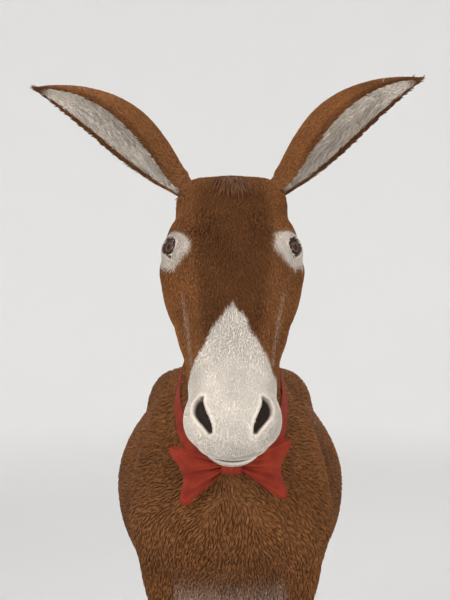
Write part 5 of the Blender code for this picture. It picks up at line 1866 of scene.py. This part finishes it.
def add_camera(view):
    """The camera: at its distance from its target, this high over it and straight in front."""
    azimuth, height = view.azimuth, view.elevation
    target = Vector(view.target)
    level = math.cos(height)
    back = Vector((math.sin(azimuth) * level, -math.cos(azimuth) * level, math.sin(height)))
    lens = bpy.data.cameras.new("camera")
    lens.sensor_fit = "VERTICAL"
    lens.sensor_height = 36.0
    lens.lens = view.focal_length
    bpy.context.scene.camera = add_aimed("camera", lens, target + view.distance * back, -back)


def add_world(strength):
    world = bpy.context.scene.world or bpy.data.worlds.new("World")
    bpy.context.scene.world = world
    world.use_nodes = True
    background = world.node_tree.nodes["Background"]
    background.inputs["Color"].default_value = (1.0, 0.99, 0.97, 1.0)
    background.inputs["Strength"].default_value = strength


# ---- Settings and operators ----
def colour_setting(name, description, default):
    """A colour that a user may change."""
    return FloatVectorProperty(
        name=name, description=description, default=default, subtype="COLOR", min=0.0, max=1.0
    )


def share_setting(name, description, low, high):
    """A share of the usual amount, which is 1."""
    return FloatProperty(
        name=name, description=f"{description}, as a share", default=1.0, min=low, max=high,
        subtype="FACTOR",
    )


class DonkeyLook(bpy.types.PropertyGroup):
    """Colours of the coat, hair, skin, eyes, horn and cloth."""

    brown: colour_setting("Brown", "Main colour of the coat", (0.190, 0.078, 0.030))
    warm_brown: colour_setting("Warm brown", "Warmer patches of the coat", (0.222, 0.088, 0.031))
    dark_brown: colour_setting(
        "Dark brown", "Middle of the face, stripe and feet", (0.120, 0.047, 0.017)
    )
    pale: colour_setting("Pale", "Muzzle, eye rings, belly and inner ears", (0.670, 0.606, 0.536))
    mane: colour_setting("Mane", "Mane, forelock, tail and lashes", (0.035, 0.018, 0.011))
    bare_skin: colour_setting("Bare skin", "Lid rims, lips and nostrils", (0.045, 0.030, 0.025))
    iris: colour_setting("Iris", "Lighter fibres of the iris", (0.085, 0.030, 0.010))
    iris_deep: colour_setting("Deep iris", "Darker fibres of the iris", (0.022, 0.009, 0.005))
    eye_white: colour_setting("Eye white", "The eyeball round the iris", (0.72, 0.68, 0.62))
    horn: colour_setting("Horn", "Wall of the hooves", (0.055, 0.045, 0.038))
    horn_pale: colour_setting("Pale horn", "Lighter lines of the hooves", (0.13, 0.105, 0.08))
    horn_worn: colour_setting("Worn horn", "Scuffed edges and soles", (0.27, 0.23, 0.18))
    cloth: colour_setting("Cloth", "The bow and its band", (0.285, 0.032, 0.012))
    cloth_deep: colour_setting("Deep cloth", "Deeper dye of the bow", (0.190, 0.018, 0.008))
    stage: colour_setting("Stage", "Floor and backdrop", (0.80, 0.80, 0.80))


class DonkeyCoat(bpy.types.PropertyGroup):
    """Sizes of the coat and the long hair."""

    fill: share_setting("Fill", "How many tufts there are", 0.05, 1.0)
    length: share_setting("Length", "Length of the tufts", 0.4, 1.5)
    mane_height: share_setting("Mane height", "Height of the mane", 0.4, 1.2)


class DonkeyView(bpy.types.PropertyGroup):
    """Where the camera stands, and the studio's light."""

    target: FloatVectorProperty(
        name="Target", description="What the camera looks at", default=(-0.012, -0.665, 1.297),
        subtype="TRANSLATION", unit="LENGTH",
    )
    distance: FloatProperty(
        name="Distance", description="From the target to the camera", default=1.95, min=0.5,
        unit="LENGTH",
    )
    azimuth: FloatProperty(
        name="Azimuth", description="How far the camera is turned round from the front",
        default=0.0, unit="ROTATION",
    )
    elevation: FloatProperty(
        name="Elevation", description="How far the camera is raised", default=math.radians(1.0),
        unit="ROTATION",
    )
    focal_length: FloatProperty(
        name="Focal length", description="Focal length of the lens, in millimetres",
        default=71.0, min=20.0,
    )
    light: FloatProperty(
        name="Light", description="Strength of the studio's lights, as a share", default=1.0,
        min=0.0,
    )


class DONKEY_OT_stage(bpy.types.Operator):
    """Makes the floor with its backdrop, the lights and the camera"""

    bl_idname = "donkey.stage"
    bl_label = "Stage"

    def execute(self, context):
        scene = context.scene
        for name in ("Cube", "Light", "Camera"):
            if name in bpy.data.objects:
                bpy.data.objects.remove(bpy.data.objects[name], do_unlink=True)
        wear(make_stage(), stage_finish(scene.donkey_look))
        share = scene.donkey_view.light
        scene.view_settings.view_transform = "Standard"
        add_world(WORLD_STRENGTH * share)
        for name, place, target, size, watts in LIGHTS:
            add_light(name, place, target, size, watts * share)
        add_camera(scene.donkey_view)
        return {"FINISHED"}


class DONKEY_OT_skin(bpy.types.Operator):
    """Makes the skin of the whole animal as one surface, with lids, lips, nostrils and ears"""

    bl_idname = "donkey.skin"
    bl_label = "Skin"

    def execute(self, context):
        obj = make_body()
        bare = raise_details(obj.data)
        write_colours(obj.data, "Bare", np.column_stack([bare] * 4))
        join_ears(obj)
        mesh = obj.data
        points = read_points(mesh)
        bare = read(mesh.attributes["Bare"].data, "color", 4, np.float32)[:, 0]
        bare = bare * on_face_parts(points)
        mesh.attributes.remove(mesh.attributes["Bare"])
        marks = in_chunks(coat_marks, points)
        write_colours(mesh, "Coat", np.column_stack([marks, bare]))
        mesh.shade_smooth()
        obj.name = "skin"
        dress(obj, skin_finish(context.scene.donkey_look), "coat", *FLESH_NODES)
        return {"FINISHED"}


class DONKEY_OT_coat(bpy.types.Operator):
    """Covers the skin with short tufts that follow the lie of the coat"""

    bl_idname = "donkey.coat"
    bl_label = "Coat"

    def execute(self, context):
        scene = context.scene
        coat = scene.donkey_coat
        finish = hair_finish("coat_tufts", scene.donkey_look, 0.03, 0.64)
        for obj in make_coat(bpy.data.objects["skin"], coat.fill, coat.length):
            dress(obj, finish, "coat")
        return {"FINISHED"}


class DONKEY_OT_long_hair(bpy.types.Operator):
    """Makes the mane, the forelock, the tail's switch, the hair of the ears and the lashes"""

    bl_idname = "donkey.long_hair"
    bl_label = "Long hair"

    def execute(self, context):
        scene = context.scene
        coarse = mane_finish(scene.donkey_look)
        dress(make_mane(scene.donkey_coat.mane_height), coarse, "mane_hair", "mane")
        dress(make_forelock(), coarse, "mane_hair")
        dress(make_switch(), coarse, "mane_hair", "tail_switch")
        soft = hair_finish("soft_ear_hair", scene.donkey_look, 0.08, 0.75)
        for side in SIDES:
            dress(make_ear_hair(side), soft, "coat")
            dress(make_lashes(side), coarse, "mane_hair")
        return {"FINISHED"}


class DONKEY_OT_eyes(bpy.types.Operator):
    """Makes the two eyeballs"""

    bl_idname = "donkey.eyes"
    bl_label = "Eyes"

    def execute(self, context):
        finish = eye_finish(context.scene.donkey_look)
        for side in SIDES:
            dress(make_eye(side), finish, "eye", f"eye_{side}")
        return {"FINISHED"}


class DONKEY_OT_hooves(bpy.types.Operator):
    """Makes the four hooves"""

    bl_idname = "donkey.hooves"
    bl_label = "Hooves"

    def execute(self, context):
        finish = horn_finish(context.scene.donkey_look)
        for pair in HOOF_CENTRES:
            for side in SIDES:
                dress(make_hoof(pair, side), finish, "horn", f"hoof_{pair}_{side}")
        return {"FINISHED"}


class DONKEY_OT_bow(bpy.types.Operator):
    """Makes the band round the neck and the bow at the throat"""

    bl_idname = "donkey.bow"
    bl_label = "Bow"

    def execute(self, context):
        finish = cloth_finish(context.scene.donkey_look)
        dress(make_band(), finish, "red_cloth", "bow_band")
        dress(make_knot(), finish, "red_cloth", "bow_knot")
        for side in SIDES:
            dress(make_loop(side), finish, "red_cloth", f"bow_loop_{side}")
        return {"FINISHED"}


STEPS = (
    DONKEY_OT_stage, DONKEY_OT_skin, DONKEY_OT_coat, DONKEY_OT_long_hair, DONKEY_OT_eyes,
    DONKEY_OT_hooves, DONKEY_OT_bow,
)


class DONKEY_PT_panel(bpy.types.Panel):
    """Settings and steps of the donkey, in the sidebar"""

    bl_idname = "DONKEY_PT_panel"
    bl_label = "Donkey"
    bl_space_type = "VIEW_3D"
    bl_region_type = "UI"
    bl_category = "Donkey"

    def draw(self, context):
        for group in (getattr(context.scene, name) for name in GROUPS):
            box = self.layout.box()
            for name in group.__annotations__:
                box.prop(group, name)
        for step in STEPS:
            self.layout.operator(step.bl_idname)


CLASSES = (DonkeyLook, DonkeyCoat, DonkeyView, *STEPS, DONKEY_PT_panel)
GROUPS = {"donkey_look": DonkeyLook, "donkey_coat": DonkeyCoat, "donkey_view": DonkeyView}


def register():
    for cls in CLASSES:
        bpy.utils.register_class(cls)
    for name, group in GROUPS.items():
        setattr(bpy.types.Scene, name, PointerProperty(type=group))


def unregister():
    for name in GROUPS:
        delattr(bpy.types.Scene, name)
    for cls in reversed(CLASSES):
        bpy.utils.unregister_class(cls)


def main():
    """Makes every piece in order."""
    register()
    for step in STEPS:
        getattr(bpy.ops.donkey, step.bl_idname.split(".")[1])()


if __name__ == "__main__":
    main()
